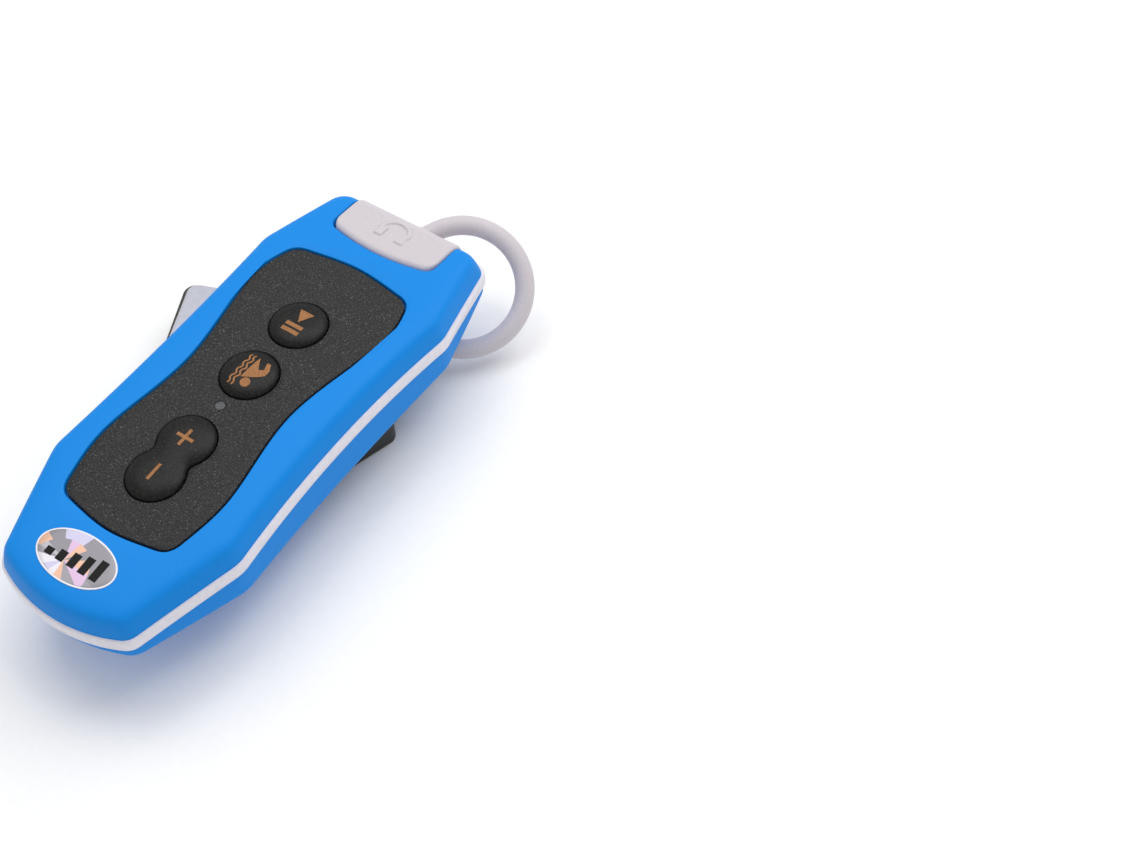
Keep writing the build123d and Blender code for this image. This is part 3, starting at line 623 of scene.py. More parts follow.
# ---- Face plate ------------------------------------------------------------------------
# A moulded ABS panel in dark grey, glued into the recess of the front shell. Its mould was spark
# eroded, so it is matt with a coarse grain, and the specks where that grain would catch light
# are a painted glint colour. The keys come up through rounded holes in it, and a pinhole over
# the status light has a lens.
face_black, face_shader = new_finish("spark_eroded_grey_abs", "#272727", 0.62, specular=0.28)
add_grain(face_black, face_shader, 0.22, 0.04, 0.9, detail=4.0)


def add_specks_and_painted_glints(material, shader, speck_mm, detail, tints, spread_by, painted_glint_hex):
    """Specks of two close colours, with a third and lighter one painted where they would catch the light: a
    painted glint.
    """
    where = add_node(material, "ShaderNodeTexCoord")
    speck = add_node(
        material, "ShaderNodeTexNoise",
        {"Scale": 1 / (speck_mm * MM), "Detail": detail, "Roughness": 0.7},
        {"Vector": where.outputs["Object"]},
    )
    # Noise above this level takes the lighter colour: a painted glint, not a colour of the grain.
    painted_glint_from = 0.70
    tint = tint_by(material, shader, speck.outputs["Fac"], *tints, *spread_by)
    tint.color_ramp.elements.new(painted_glint_from).color = linear(painted_glint_hex)


# The lightest of these speck colours is a painted glint.
add_specks_and_painted_glints(face_black, face_shader, 0.20, 4.0, ("#171717", "#343434"), (0.38, 0.60), "#86847F")

plate_top = face_height - 0.1
plate_bottom = plate_top - 1.0
plate_lip = 0.18
plate_rings = [
    on_arch(moved_out(plate_loop, -plate_lip), plate_bottom),
    on_arch(plate_loop, plate_bottom + plate_lip),
    on_arch(plate_loop, plate_top - plate_lip),
    on_arch(moved_out(plate_loop, -0.3 * plate_lip), plate_top - 0.3 * plate_lip),
    on_arch(moved_out(plate_loop, -plate_lip), plate_top),
]


def mirrored_pairs(plan):
    """Pairs of points of a mirrored outline, right and left, from its near end to its far end."""
    right = [i for i, p in enumerate(plan) if p[0] > 1e-4]
    nearest = min(right, key=lambda i: plan[i][1] + 0.01 * plan[i][0])
    right.sort(key=lambda i: (i - nearest) % len(plan))
    pairs = []
    for i in right:
        x, y = plan[i][0], plan[i][1]
        j = min(range(len(plan)), key=lambda k: abs(plan[k][0] + x) + abs(plan[k][1] - y))
        pairs.append((i, j))
    return pairs


def close_across(points, faces, start, plan, place, columns=14):
    """Closes a mirrored ring, whose points begin at start, with rows of faces from side to side."""
    pairs = mirrored_pairs(plan)
    rows = []
    for i, j in pairs[1:-1]:
        row = [start + j]
        for step in range(1, columns):
            points.append(place(Vector(plan[j][:2]).lerp(Vector(plan[i][:2]), step / columns)))
            row.append(len(points) - 1)
        rows.append(row + [start + i])
    for here, there in zip(rows, rows[1:]):
        for k in range(columns):
            faces.append((here[k], here[k + 1], there[k + 1], there[k]))
    for (i, j), row in ((pairs[0], rows[0]), (pairs[-1], rows[-1])):
        middle = [k for k, p in enumerate(plan) if abs(p[0]) <= 1e-4 and abs(p[1] - plan[i][1]) < 2.5]
        faces.append(tuple([start + i] + [start + k for k in middle] + [start + j] + row))


plate_points, plate_faces = skin(plate_rings)
plate_size = len(plate_loop)
for ring_index, plate_height in ((0, plate_bottom), (len(plate_rings) - 1, plate_top)):
    close_across(
        plate_points, plate_faces, ring_index * plate_size, plate_rings[ring_index],
        lambda spot, height=plate_height: (spot.x, spot.y, seam_level + height - drop(spot.y)),
    )
face_plate = build_mesh("grained_face_plate", plate_points, plate_faces, face_black)

key_radius = 4.13
rocker_half_pitch = 3.2
rocker_waist = 3.15
play_y = 13.2
mode_y = 2.6
rocker_y = -13.7
light_y = -3.6
hollow = (rocker_waist ** 2 + rocker_half_pitch ** 2 - key_radius ** 2) / (2 * (key_radius - rocker_waist))


def disc(grow=0.0, turns=72):
    """A round key's outline."""
    angles = [2 * math.pi * (i + 0.5) / turns for i in range(turns)]
    return [Vector((math.cos(a), math.sin(a))) * (key_radius + grow) for a in angles]


def peanut(grow=0.0):
    """The rocker's outline: two round lobes with a hollow blended in at each side."""
    centre_x = rocker_waist + hollow
    swing = math.atan2(rocker_half_pitch, centre_x)
    arcs = [
        (0.0, rocker_half_pitch, key_radius + grow, -swing, math.pi + swing, 41),
        (-centre_x, 0.0, hollow - grow, swing, -swing, 9),
        (0.0, -rocker_half_pitch, key_radius + grow, math.pi - swing, 2 * math.pi + swing, 41),
        (centre_x, 0.0, hollow - grow, math.pi + swing, math.pi - swing, 9),
    ]
    points = []
    for x, y, radius, first, last, steps in arcs:
        for step in range(1, steps):
            angle = first + (last - first) * step / steps
            points.append(Vector((x + radius * math.cos(angle), y + radius * math.sin(angle))))
    return points


def on_plate(point, y, height):
    """A point of a key's own plan, laid on the arched face plate."""
    tilt = math.atan(-y / arch_radius)
    spot = Matrix.Rotation(tilt, 3, "X") @ Vector((point[0], point[1], height))
    return (spot.x, spot.y + y, spot.z + seam_level + plate_top - drop(y))


def key_rings(plan, y, profile):
    """Rings of a key's plan, each grown by some and laid at some height over the plate."""
    return [[on_plate(p, y, height) for p in plan(grow)] for grow, height in profile]


hole_profile = [(0.13, -3.0), (0.13, -0.22), (0.17, -0.1), (0.3, 0.0), (0.5, 0.08), (0.6, 1.0)]
for plan, y in ((disc, play_y), (disc, mode_y), (peanut, rocker_y)):
    cut_away(face_plate, build_mesh("key_cutter", *capped(key_rings(plan, y, hole_profile)), face_black))
light_hole = [(0.78, -3.0), (0.78, -0.06), (0.86, 0.0), (0.95, 0.5)]
light_rings = [
    [on_plate(p, light_y, height) for p in disc(radius - key_radius)] for radius, height in light_hole
]
cut_away(face_plate, build_mesh("light_cutter", *capped(light_rings), face_black))
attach(face_plate, "player_body")
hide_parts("face_plate")


# ---- Keys ------------------------------------------------------------------------------
# Two round keys and one rocker with a lobe for louder and one for quieter, moulded in
# black silicone with a pillowed top that thumb grease has polished a little; its lightest specks
# are painted glints. Each has a flange under the plate that stops it coming out.
key_black, key_shader = new_finish("pillowed_black_silicone", "#121110", 0.42, ior=1.41, specular=0.32)
add_grain(key_black, key_shader, 0.28, 0.02, 0.55, detail=4.0)
# The lightest speck colour on the keys is a painted glint.
add_specks_and_painted_glints(key_black, key_shader, 0.32, 5.0, ("#0A0908", "#1A1918"), (0.42, 0.6), "#454341")

pillow = [
    (0.0, 0.0), (-0.12, 0.20), (-0.32, 0.37), (-0.6, 0.52), (-0.95, 0.65), (-1.35, 0.75), (-1.8, 0.83),
    (-2.3, 0.88), (-2.9, 0.9),
]


def pillow_height(depth):
    """The height of a key's top at this distance in from its edge."""
    for (a, low), (b, high) in zip(pillow, pillow[1:]):
        if depth <= -b:
            return low + (high - low) * (depth + a) / (a - b)
    return pillow[-1][1]


def build_key(name, plan, y, flange_top, body_name, node_name):
    """A key from its flange up over its pillowed top."""
    flange_low = flange_top - 0.5
    profile = [(0.0, flange_low), (0.6, flange_low), (0.6, flange_top), (0.0, flange_top)] + pillow
    points, faces = skin(key_rings(plan, y, profile))
    for index in (0, len(profile) - 1):
        grow, height = profile[index]
        close_across(
            points, faces, index * len(plan()), plan(grow),
            lambda spot, level=height: on_plate(spot, y, level), columns=8,
        )
    key = build_mesh(name, points, faces, key_black)
    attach(key, body_name)
    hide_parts(node_name)


build_key("round_play_key", disc, play_y, -1.1, "play_key", "play_button")
build_key("round_mode_key", disc, mode_y, -1.1, "mode_key", "mode_button")
build_key("volume_rocker_key", peanut, rocker_y, -1.55, "volume_key", "volume_rocker")


# ---- Key symbols -----------------------------------------------------------------------
# Copper-coloured pad print on the tops of the keys, a few hundredths of a millimetre
# thick: play and pause, a swimmer over waves, plus and minus. The ink is a little uneven
# where the silicone pad left it. The symbols are read with the jack end to the left.
copper_ink = grained_finish(
    "copper_pad_print", "#9A6839", 0.55, (0.22, 0.01, 0.6), ("#8B5B2E", "#AB764A", 0.35, 0.62), specular=0.3,
)
ink_thickness = 0.05


def stroke(path, width):
    """The closed outline of a brush stroke of even width along a path."""
    spots = [Vector(p) for p in path]
    left, right = [], []
    for i, p in enumerate(spots):
        along = spots[min(i + 1, len(spots) - 1)] - spots[max(i - 1, 0)]
        across = Vector((-along.y, along.x)).normalized() * width / 2
        left.append(p + across)
        right.append(p - across)
    return left + right[::-1]


def round_dot(centre, radius, turns=28):
    """A filled dot's outline."""
    angles = [2 * math.pi * i / turns for i in range(turns)]
    return [Vector((centre[0] + radius * math.cos(a), centre[1] + radius * math.sin(a))) for a in angles]


def print_symbol(name, shapes, plan_centre_y, key_y, body_name, material, level):
    """Ink laid on a key: each shape as a thin solid that follows the key's top."""
    shape = bmesh.new()
    for outline_points in shapes:
        verts = [shape.verts.new((p[0], p[1], 0.0)) for p in outline_points]
        shape.faces.new(verts).normal_update()
    bmesh.ops.triangulate(shape, faces=shape.faces)
    bmesh.ops.subdivide_edges(shape, edges=shape.edges, cuts=2, use_grid_fill=True)
    bmesh.ops.recalc_face_normals(shape, faces=shape.faces)
    top = list(shape.faces)
    lower = bmesh.ops.extrude_face_region(shape, geom=top)
    for item in lower["geom"]:
        if isinstance(item, bmesh.types.BMVert):
            item.co.z = -ink_thickness
    bmesh.ops.recalc_face_normals(shape, faces=shape.faces)
    for vert in shape.verts:
        x, y, z = vert.co.x, vert.co.y + plan_centre_y, vert.co.z
        vert.co = Vector(on_plate((x, y), key_y, level(x, y) + 0.022 + z)) * MM
    mesh = bpy.data.meshes.new(name)
    shape.to_mesh(mesh)
    shape.free()
    mesh.materials.append(material)
    piece = bpy.data.objects.new(name, mesh)
    bpy.context.collection.objects.link(piece)
    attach(piece, body_name)


def round_level(x, y):
    """The height of a round key's top at a place in its own plan."""
    return pillow_height(key_radius - math.hypot(x, y))


def rocker_level(x, y):
    """The height of the rocker's top on one of its lobes."""
    lobe_y = math.copysign(rocker_half_pitch, y)
    return pillow_height(key_radius - math.hypot(x, y - lobe_y))


play_shapes = [
    [(-1.02, 2.03), (1.38, 2.03), (0.18, -0.15)],
    stroke([(-1.3, -0.88), (1.55, -0.88)], 0.64),
    stroke([(-1.3, -1.9), (1.55, -1.9)], 0.64),
]
wave_steps = 40
wave_count = 4


def wave_line(middle_x):
    """A stroke of water that ripples along the key."""
    path = []
    for step in range(wave_steps + 1):
        share = step / wave_steps
        path.append((middle_x + 0.17 * math.sin(2 * math.pi * wave_count * share), -2.9 + 5.6 * share))
    return stroke(path, 0.27)


swimmer_shapes = [
    round_dot((0.85, -1.7), 0.74),
    [(-0.3, -1.3), (1.2, -0.55), (1.9, -0.05), (2.5, 0.55), (2.44, 1.56), (1.85, 2.62), (1.3, 2.5),
     (1.75, 1.3), (1.14, 0.84), (0.5, 1.75), (-0.05, 2.75), (-0.25, 0.7)],
    wave_line(-0.75),
    wave_line(-1.4),
]
arm, half = 1.4, 0.25
plus_shapes = [[
    (-arm, -half), (-half, -half), (-half, -arm), (half, -arm), (half, -half), (arm, -half),
    (arm, half), (half, half), (half, arm), (-half, arm), (-half, half), (-arm, half),
]]
minus_shapes = [stroke([(0.0, -1.4), (0.0, 1.4)], 0.46)]
print_symbol("play_and_pause_print", play_shapes, 0.0, play_y, "play_key", copper_ink, round_level)
print_symbol("swimmer_print", swimmer_shapes, 0.0, mode_y, "mode_key", copper_ink, round_level)
print_symbol("plus_print", plus_shapes, rocker_half_pitch, rocker_y, "volume_key", copper_ink, rocker_level)
print_symbol(
    "minus_print", minus_shapes, -rocker_half_pitch, rocker_y, "volume_key", copper_ink, rocker_level
)


# ---- Function sticker ------------------------------------------------------------------
# An oval polyester label with an embossed diffraction foil behind it, die cut with a clear
# white rim and stuck on by hand. The foil is stamped in wedges round a point near its
# middle, and the pale colour that each wedge throws back is a painted reflection. It carries
# five printed level bars.
foil, foil_shader = new_finish("diffraction_foil", "#B4B0BA", 0.4, metallic=0.35)
foil_where = add_node(foil, "ShaderNodeTexCoord")
foil_centre = (-0.0018, -0.0330, 0.0)
foil_local = add_node(
    foil, "ShaderNodeVectorMath", {"operation": "SUBTRACT", 1: foil_centre}, {0: foil_where.outputs["Object"]}
)
foil_split = add_node(foil, "ShaderNodeSeparateXYZ", links={"Vector": foil_local.outputs["Vector"]})
foil_bearing = add_node(
    foil, "ShaderNodeMath", {"operation": "ARCTAN2"}, {0: foil_split.outputs["Y"], 1: foil_split.outputs["X"]}
)
foil_far = add_node(foil, "ShaderNodeVectorMath", {"operation": "LENGTH"}, {0: foil_local.outputs["Vector"]})
wedge_count = 13
foil_ring = add_node(
    foil, "ShaderNodeMath", {"operation": "SNAP", 1: 0.0027}, {0: foil_far.outputs["Value"]}
)
foil_shift = add_node(
    foil, "ShaderNodeMath", {"operation": "MULTIPLY_ADD", 1: 61.0},
    {0: foil_ring.outputs["Value"], 2: foil_bearing.outputs["Value"]}
)
foil_wedge = add_node(
    foil, "ShaderNodeMath", {"operation": "SNAP", 1: 2 * math.pi / wedge_count},
    {0: foil_shift.outputs["Value"]}
)
foil_mix = add_node(
    foil, "ShaderNodeCombineXYZ", links={"X": foil_wedge.outputs["Value"], "Y": foil_ring.outputs["Value"]}
)
foil_random = add_node(
    foil, "ShaderNodeTexWhiteNoise", {"noise_dimensions": "3D"}, {"Vector": foil_mix.outputs["Vector"]}
)
# Each wedge of the foil gets one of these painted reflection colours, picked at random.
painted_reflection_ramp = add_node(foil, "ShaderNodeValToRGB", links={"Fac": foil_random.outputs["Value"]})
painted_reflection_ramp.color_ramp.interpolation = "CONSTANT"
painted_reflection_stops = (
    (0.0, "#8E8B92"), (0.13, "#D3B5D3"), (0.26, "#E0B49A"), (0.40, "#B5B3BA"), (0.52, "#AFD8CC"),
    (0.64, "#DEDBE4"), (0.76, "#9A979F"), (0.88, "#C6C2DC"),
)
for index, (position, colour) in enumerate(painted_reflection_stops):
    stop = painted_reflection_ramp.color_ramp.elements[index] if index < 2 else painted_reflection_ramp.color_ramp.elements.new(position)
    stop.position = position
    stop.color = linear(colour)
foil.node_tree.links.new(painted_reflection_ramp.outputs["Color"], foil_shader.inputs["Base Color"])
clear_rim = grained_finish("clear_label_rim", "#E9E8EE", 0.3, (0.4, 0.003, 0.3), ("#E4E3EA", "#F0EFF4"))

label_low, label_high = (Vector(corner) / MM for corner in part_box("function_sticker"))
label_centre = (label_low.xy + label_high.xy) / 2
label_half = (label_high.xy - label_low.xy) / 2
label_thickness = 0.12


def label_ring(inset, height):
    """An oval ring of the label, laid over the arched face."""
    turns = 96
    angles = [2 * math.pi * (i + 0.5) / turns for i in range(turns)]
    half_x, half_y = label_half.x - inset, label_half.y - inset
    plan = [(half_x * math.cos(a), label_centre.y + half_y * math.sin(a)) for a in angles]
    return on_arch(plan, face_height + height)


def build_label(name, rings, material):
    """An oval film, closed below and above."""
    points, faces = skin(rings)
    size = len(rings[0])
    for index, ring in ((0, rings[0]), (len(rings) - 1, rings[-1])):
        height = ring[0][2] + drop(ring[0][1])
        close_across(
            points, faces, index * size, ring,
            lambda spot, level=height: (spot.x, spot.y, level - drop(spot.y)), columns=10,
        )
    points = [(x + label_centre.x, y, z) for x, y, z in points]
    film = build_mesh(name, points, faces, material)
    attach(film, "player_body")
    return film


label_rim = build_label("label_rim", [
    label_ring(0.0, -0.02), label_ring(0.0, label_thickness - 0.03), label_ring(0.03, label_thickness),
], clear_rim)
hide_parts("function_sticker")
build_label("label_foil", [
    label_ring(0.24, label_thickness - 0.02), label_ring(0.24, label_thickness + 0.012),
    label_ring(0.26, label_thickness + 0.02),
], foil)

label_ink = grained_finish(
    "black_screen_print", "#0C0C0C", 0.5, (0.3, 0.004, 0.4), ("#080808", "#121212"), specular=0.2,
)
bar_count, bar_pitch = 5, 1.95
for index in range(bar_count):
    bar_x = label_centre.x - 3.9 + bar_pitch * index
    bar_height = 1.1 + 0.5 * index
    bar_low = label_centre.y - 1.5
    rings = [
        on_arch([(bar_x - half, bar_low), (bar_x + half, bar_low), (bar_x + half, bar_low + bar_height),
                 (bar_x - half, bar_low + bar_height)], face_height + height)
        for half, height in ((0.62, label_thickness), (0.62, label_thickness + 0.03))
    ]
    bar = build_mesh("level_bar_%d" % (index + 1), *capped(rings), label_ink)
    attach(bar, "player_body")


# ---- Jack cover ------------------------------------------------------------------------
# A stopper moulded in white silicone: a leaf lies in the face, turns down over the end,
# and carries the seal and the plug that fill the jack. It is matt and a little waxy, with
# rounded edges and a headphone sign raised on its leaf from the mould.
silicone = grained_finish(
    "matt_white_silicone", "#CBC4CA", 0.52, (0.35, 0.006, 0.35), ("#C8C1C7", "#CEC8CD"), specular=0.4,
)

cover_low, cover_high = (Vector(corner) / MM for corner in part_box("jack_cover"))
cover_half = cover_high.x
cover_end_y = cover_high.y
leaf_top, leaf_under = face_height + 0.25, 2.0
end_leaf = 1.25
plan_round = 1.4
side_round = 0.55
foot_height = cover_low.z - seam_level + drop(end_y)
band_radius = 2.1
sign_y = 34.9


def near_end_shift(x):
    """How far a rounded corner pulls an edge in, near the leaf's sides."""
    past = max(0.0, abs(x) - (cover_half - plan_round))
    return plan_round - math.sqrt(max(0.0, plan_round ** 2 - past ** 2))


def bend_points(before, corner, after, radius, steps):
    """A true arc that rounds the corner between two straight runs."""
    into, away = (before - corner).normalized(), (after - corner).normalized()
    half_angle = into.angle(away) / 2
    reach = radius / math.tan(half_angle)
    centre = corner + (into + away).normalized() * radius / math.sin(half_angle)
    start, end = corner + into * reach - centre, corner + away * reach - centre
    turn = start.angle_signed(end)
    bend = []
    for step in range(steps):
        spoke = start.copy()
        spoke.rotate(Matrix.Rotation(-turn * step / (steps - 1), 2))
        bend.append(centre + spoke)
    return bend


def cover_section(x):
    """The cover's section at one distance from its middle, as (y, height over the seam)."""
    bow = 1.3 * (1 - (x / cover_half) ** 2)
    front = 31.6 - bow + near_end_shift(x)
    foot = foot_height + near_end_shift(x)
    inner = cover_end_y - end_leaf
    corners = [
        (front, leaf_under, 0.6), (inner, leaf_under, 0.3), (inner, foot, 0.6),
        (cover_end_y, foot, 0.6), (cover_end_y, leaf_top - 0.15, 2.3), (front, leaf_top, 1.0),
    ]
    spots = [Vector(c[:2]) for c in corners]
    counts = (3, 9, 3, 9, 52, 3)
    section = []
    for i, corner in enumerate(corners):
        after = spots[(i + 1) % len(spots)]
        bend = bend_points(spots[i - 1], spots[i], after, corner[2], 8)
        section += bend
        last = bend[-1]
        next_bend = bend_points(
            spots[i], after, spots[(i + 2) % len(spots)], corners[(i + 1) % len(corners)][2], 8
        )
        for step in range(1, counts[i] + 1):
            section.append(last.lerp(next_bend[0], step / (counts[i] + 1)))
    return section


def raised_sign(x, y):
    """How high the headphone sign stands: a band over two ear cups."""
    from_middle = Vector((x, y - sign_y))
    if from_middle.y > 0:
        gap = abs(math.hypot(from_middle.x / 1.12, from_middle.y) - band_radius)
    else:
        gap = math.hypot(abs(from_middle.x) / 1.12 - band_radius, from_middle.y)
    band = max(0.0, 1 - (gap / 0.42) ** 2)
    cup = Vector((abs(x) - 1.85, y - sign_y + 0.7))
    cup_gap = max(abs(cup.x) / 0.75, abs(cup.y) / 1.05)
    pad = max(0.0, 1 - cup_gap ** 4)
    return 0.26 * min(1.0, 1.6 * max(band, pad))


edge_steps = 7
middle_steps = 108
section_places = [(cover_half - side_round * (1 - math.cos(a)), side_round * (1 - math.sin(a)))
                  for a in (math.pi / 2 * i / edge_steps for i in range(edge_steps))]
span = cover_half - side_round
section_places += [(span - 2 * span * i / middle_steps, 0.0) for i in range(middle_steps + 1)]
section_places += [(-x, inset) for x, inset in section_places[:edge_steps][::-1]]
cover_rings = []
for x, inset in section_places:
    section = moved_out(cover_section(x), -inset)
    ring = []
    for y, height in section:
        lift = raised_sign(x, y) if height > leaf_top - 0.3 else 0.0
        ring.append((x, y, seam_level + height + lift - drop(min(y, end_y))))
    cover_rings.append(ring)
jack_cover = build_mesh("silicone_jack_cover", *capped(cover_rings), silicone, sharp=50.0)
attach(jack_cover, "plug_body")
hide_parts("jack_cover")


# ---- Tether ----------------------------------------------------------------------------
# The round silicone strap that keeps the cover with the player. It leaves the cover's end,
# sweeps out in a loop and comes back to a lug under the housing. It is moulded in one with
# the cover, so it swells where it joins at each end.
tether_radius = 1.45
loop_radius = 9.13
loop_start = Vector((1.4, end_y + 0.1, seam_level - 2.6))
loop_end = Vector((8.1, end_y - 9.4, seam_level - 11.2))
loop_bulge = Vector((0.81, 0.55, -0.14))
chord = loop_end - loop_start
outward = (loop_bulge - chord * (loop_bulge.dot(chord) / chord.dot(chord))).normalized()
loop_centre = (loop_start + loop_end) / 2 + outward * math.sqrt(loop_radius ** 2 - (chord.length / 2) ** 2)
first_spoke = loop_start - loop_centre
loop_normal = chord.cross(outward).normalized()
loop_turn = 2 * math.pi - first_spoke.angle(loop_end - loop_centre)
loop_sign = 1 if first_spoke.copy().cross(outward).dot(loop_normal) > 0 else -1
loop_steps = 120
tube_turns = 40
flare_length = 0.9
tether_rings = []
for step in range(-3, loop_steps + 4):
    turn = loop_sign * loop_turn * step / loop_steps
    spoke = Matrix.Rotation(turn, 3, loop_normal) @ first_spoke
    from_end = min(step, loop_steps - step) / loop_steps * loop_turn * loop_radius
    swell = 0.32 * math.exp(-(max(0.0, from_end) / flare_length) ** 2)
    radius = tether_radius + swell
    ring = []
    for k in range(tube_turns):
        angle = 2 * math.pi * k / tube_turns
        ring.append(loop_centre + spoke + spoke.normalized() * radius * math.cos(angle)
                    + loop_normal * radius * math.sin(angle))
    tether_rings.append(ring)
tether = build_mesh("silicone_tether", *capped(tether_rings), silicone)
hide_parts("cover_tether")
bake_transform(tether)


def rounded_block(name, low, high, corner_round, edge_round, material):
    """A block with round upright corners and rounded edges below and above."""
    corners = [
        (low.x, low.y, corner_round, 0.0, 3), (high.x, low.y, corner_round, 0.0, 3),
        (high.x, high.y, corner_round, 0.0, 3), (low.x, high.y, corner_round, 0.0, 3),
    ]
    steps = 5
    curve = [math.pi / 2 * i / steps for i in range(steps + 1)]
    profile = [(edge_round * (1 - math.sin(a)), low.z + edge_round * (1 - math.cos(a))) for a in curve]
    profile += [(inset, high.z - (level - low.z)) for inset, level in profile[::-1]]
    rings = [[(p.x, p.y, level) for p in outline(corners, inset)] for inset, level in profile]
    return build_mesh(name, *capped(rings), material)


lug_low, lug_high = (Vector(corner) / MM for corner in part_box("tether_anchor"))
tether_lug = rounded_block("tether_lug", lug_low, lug_high, 1.2, 0.45, silicone)
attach(tether_lug, "player_body")
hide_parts("tether_anchor")


# ---- Clip tab cover --------------------------------------------------------------------
# The white cap that a finger presses to open the clip, moulded in glossy ABS and welded
# over the clip's black plate. It rises towards its slanted edge, and its edges are rounded.
tab_white = grained_finish(
    "glossy_white_abs", "#BDBDC6", 0.22, (1.2, 0.004, 0.2), ("#BABAC3", "#C1C1C9"),
    coat_weight=0.3, coat_roughness=0.1,
)
tab_low, tab_high = (Vector(corner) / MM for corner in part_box("tab_cover"))
tab_reach = tab_low.x
tab_bend_x = -17.0
tab_rise = 0.8
tab_thickness = 1.0
tab_inner_x = tab_high.x


def tab_point(plan_point, height):
    """A plan point of the tab, lifted where the tab rises towards its edge."""
    share = max(0.0, (tab_bend_x - plan_point.x) / (tab_bend_x - tab_reach))
    return (plan_point.x, plan_point.y + clip_y, tab_low.z + height + tab_rise * share)


tab_corners = [
    (tab_reach, 13.0, 1.6, 0.0, 30), (-19.2, -7.0, 1.6, 0.0, 4), (tab_inner_x, -7.0, 0.3, 0.0, 30),
    (tab_inner_x, 15.97, 0.3, 0.0, 6), (-20.0, 16.2, 1.6, 0.0, 14),
]
tab_profile = [
    (0.12, 0.0), (0.0, 0.12), (0.0, 0.55), (0.05, 0.75), (0.18, 0.9), (0.38, 0.98), (0.6, tab_thickness),
]
tab_rings = [[tab_point(p, height) for p in outline(tab_corners, inset)] for inset, height in tab_profile]
tab_cover = build_mesh("glossy_tab_cap", *capped(tab_rings), tab_white)
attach(tab_cover, "clip_base_body")
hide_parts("tab_cover")


# ---- Clip plates -----------------------------------------------------------------------
# The clip's base and arm, moulded in black glass-filled nylon so that they stay stiff. The
# glass leaves a fine dull grain, and the arm has moulded grooves where a finger pulls it.
clip_black = grained_finish(
    "glass_filled_black_nylon", "#1E1E17", 0.5, (0.35, 0.015, 0.5), ("#1A1A14", "#25251C"), ior=1.53,
)


def give_finish(material, *node_names):
    """Gives parts of the frame, whose shapes are right already, their real finish."""
    for node_name in node_names:
        for slot in bpy.data.objects[node_name].material_slots:
            slot.material = material


give_finish(clip_black, "clip_base", "clip_arm")


# ---- Jaw pad ---------------------------------------------------------------------------
# A strip of thermoplastic rubber moulded on under the jaw's lip, with grooves across it
# that hold a strap. Rubber is dead matt, and dust greys it a little.
pad_rubber = grained_finish(
    "moulded_grip_rubber", "#2B2B29", 0.8, (0.25, 0.02, 0.6), ("#252523", "#3A3A37"), ior=1.52,
)
give_finish(pad_rubber, "jaw_pad")


# ---- Clip pin and spring ---------------------------------------------------------------
# A ground steel pin through four lugs, with a torsion spring wound round it from music
# wire. One leg of the spring presses on the base and the other on the arm, so the coils
# wind up as the jaw opens.
ground_steel = grained_finish(
    "ground_steel", "#A9A9AB", 0.28, (0.12, 0.003, 0.5), ("#9C9C9F", "#B4B4B6"), metallic=1.0,
)
give_finish(ground_steel, "clip_pin")
music_wire = grained_finish(
    "oiled_music_wire", "#86837C", 0.3, (0.15, 0.003, 0.4), ("#77746D", "#94918A"), metallic=1.0,
)

pin_low, pin_high = (Vector(corner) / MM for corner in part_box("clip_pin"))
spring_low, spring_high = (Vector(corner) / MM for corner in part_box("clip_spring"))
hinge = (pin_low + pin_high) / 2
wire_radius = 0.21
coil_radius = (spring_high.z - spring_low.z) / 2 - wire_radius
coil_turns = 9.5
steps_a_turn = 28


def spring_path():
    """The wire's line: a leg along the base, the coils round the pin, and the arm's leg."""
    first_y, last_y = spring_low.y + wire_radius, spring_high.y - wire_radius
    path = [Vector((spring_low.x + share * (hinge.x - spring_low.x), first_y, hinge.z - coil_radius))
            for share in (0.0, 0.33, 0.66, 0.97)]
    steps = round(coil_turns * steps_a_turn)
    for step in range(steps + 1):
        angle = -math.pi / 2 + 2 * math.pi * coil_turns * step / steps
        y = first_y + (last_y - first_y) * step / steps
        x, z = hinge.x + coil_radius * math.cos(angle), hinge.z + coil_radius * math.sin(angle)
        path.append(Vector((x, y, z)))
    path += [Vector((spring_low.x + share * (hinge.x - spring_low.x), last_y, hinge.z + coil_radius))
             for share in (0.97, 0.66, 0.33, 0.0)]
    return path


def wire_rings(path, radius, turns=12):
    """Rings of a wire that follows a path, turned as little as possible from one to the next."""
    side = Vector((0.0, 1.0, 0.0))
    rings = []
    for i, spot in enumerate(path):
        along = (path[min(i + 1, len(path) - 1)] - path[max(i - 1, 0)]).normalized()
        side = (side - along * side.dot(along)).normalized()
        up = along.cross(side)
        angles = [2 * math.pi * k / turns for k in range(turns)]
        rings.append([spot + (side * math.cos(a) + up * math.sin(a)) * radius for a in angles])
    return rings


spring = build_mesh("wound_torsion_spring", *capped(wire_rings(spring_path(), wire_radius)), music_wire)
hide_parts("clip_spring")
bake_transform(spring)


# ---- Swivel ----------------------------------------------------------------------------
# What lets the clip turn: a brass insert moulded into the back shell, a thin white acetal
# washer that the clip rubs on, and a shouldered steel screw whose head sits in the base.
turned_brass = grained_finish(
    "turned_brass", "#B8924C", 0.3, (0.2, 0.004, 0.4), ("#AD8742", "#C29C57"), metallic=1.0,
)
acetal = grained_finish(
    "white_acetal", "#D9D8D0", 0.4, (0.5, 0.003, 0.3), ("#D4D3CA", "#DEDDD6"),
    ior=1.48, subsurface_weight=0.1,
)
blackened_steel = grained_finish(
    "black_zinc_plated_steel", "#4B4A48", 0.34, (0.18, 0.004, 0.5), ("#403F3D", "#585654"), metallic=1.0,
)
give_finish(turned_brass, "swivel_insert")
give_finish(acetal, "swivel_washer")
give_finish(blackened_steel, "swivel_screw")


# ---- Shell screws ----------------------------------------------------------------------
# Four thread-forming screws that pull the back shell up to bosses in the front one. They
# are the same black zinc plated steel, with a cross recess, deep in wells under the back.
give_finish(blackened_steel, "shell_screws")


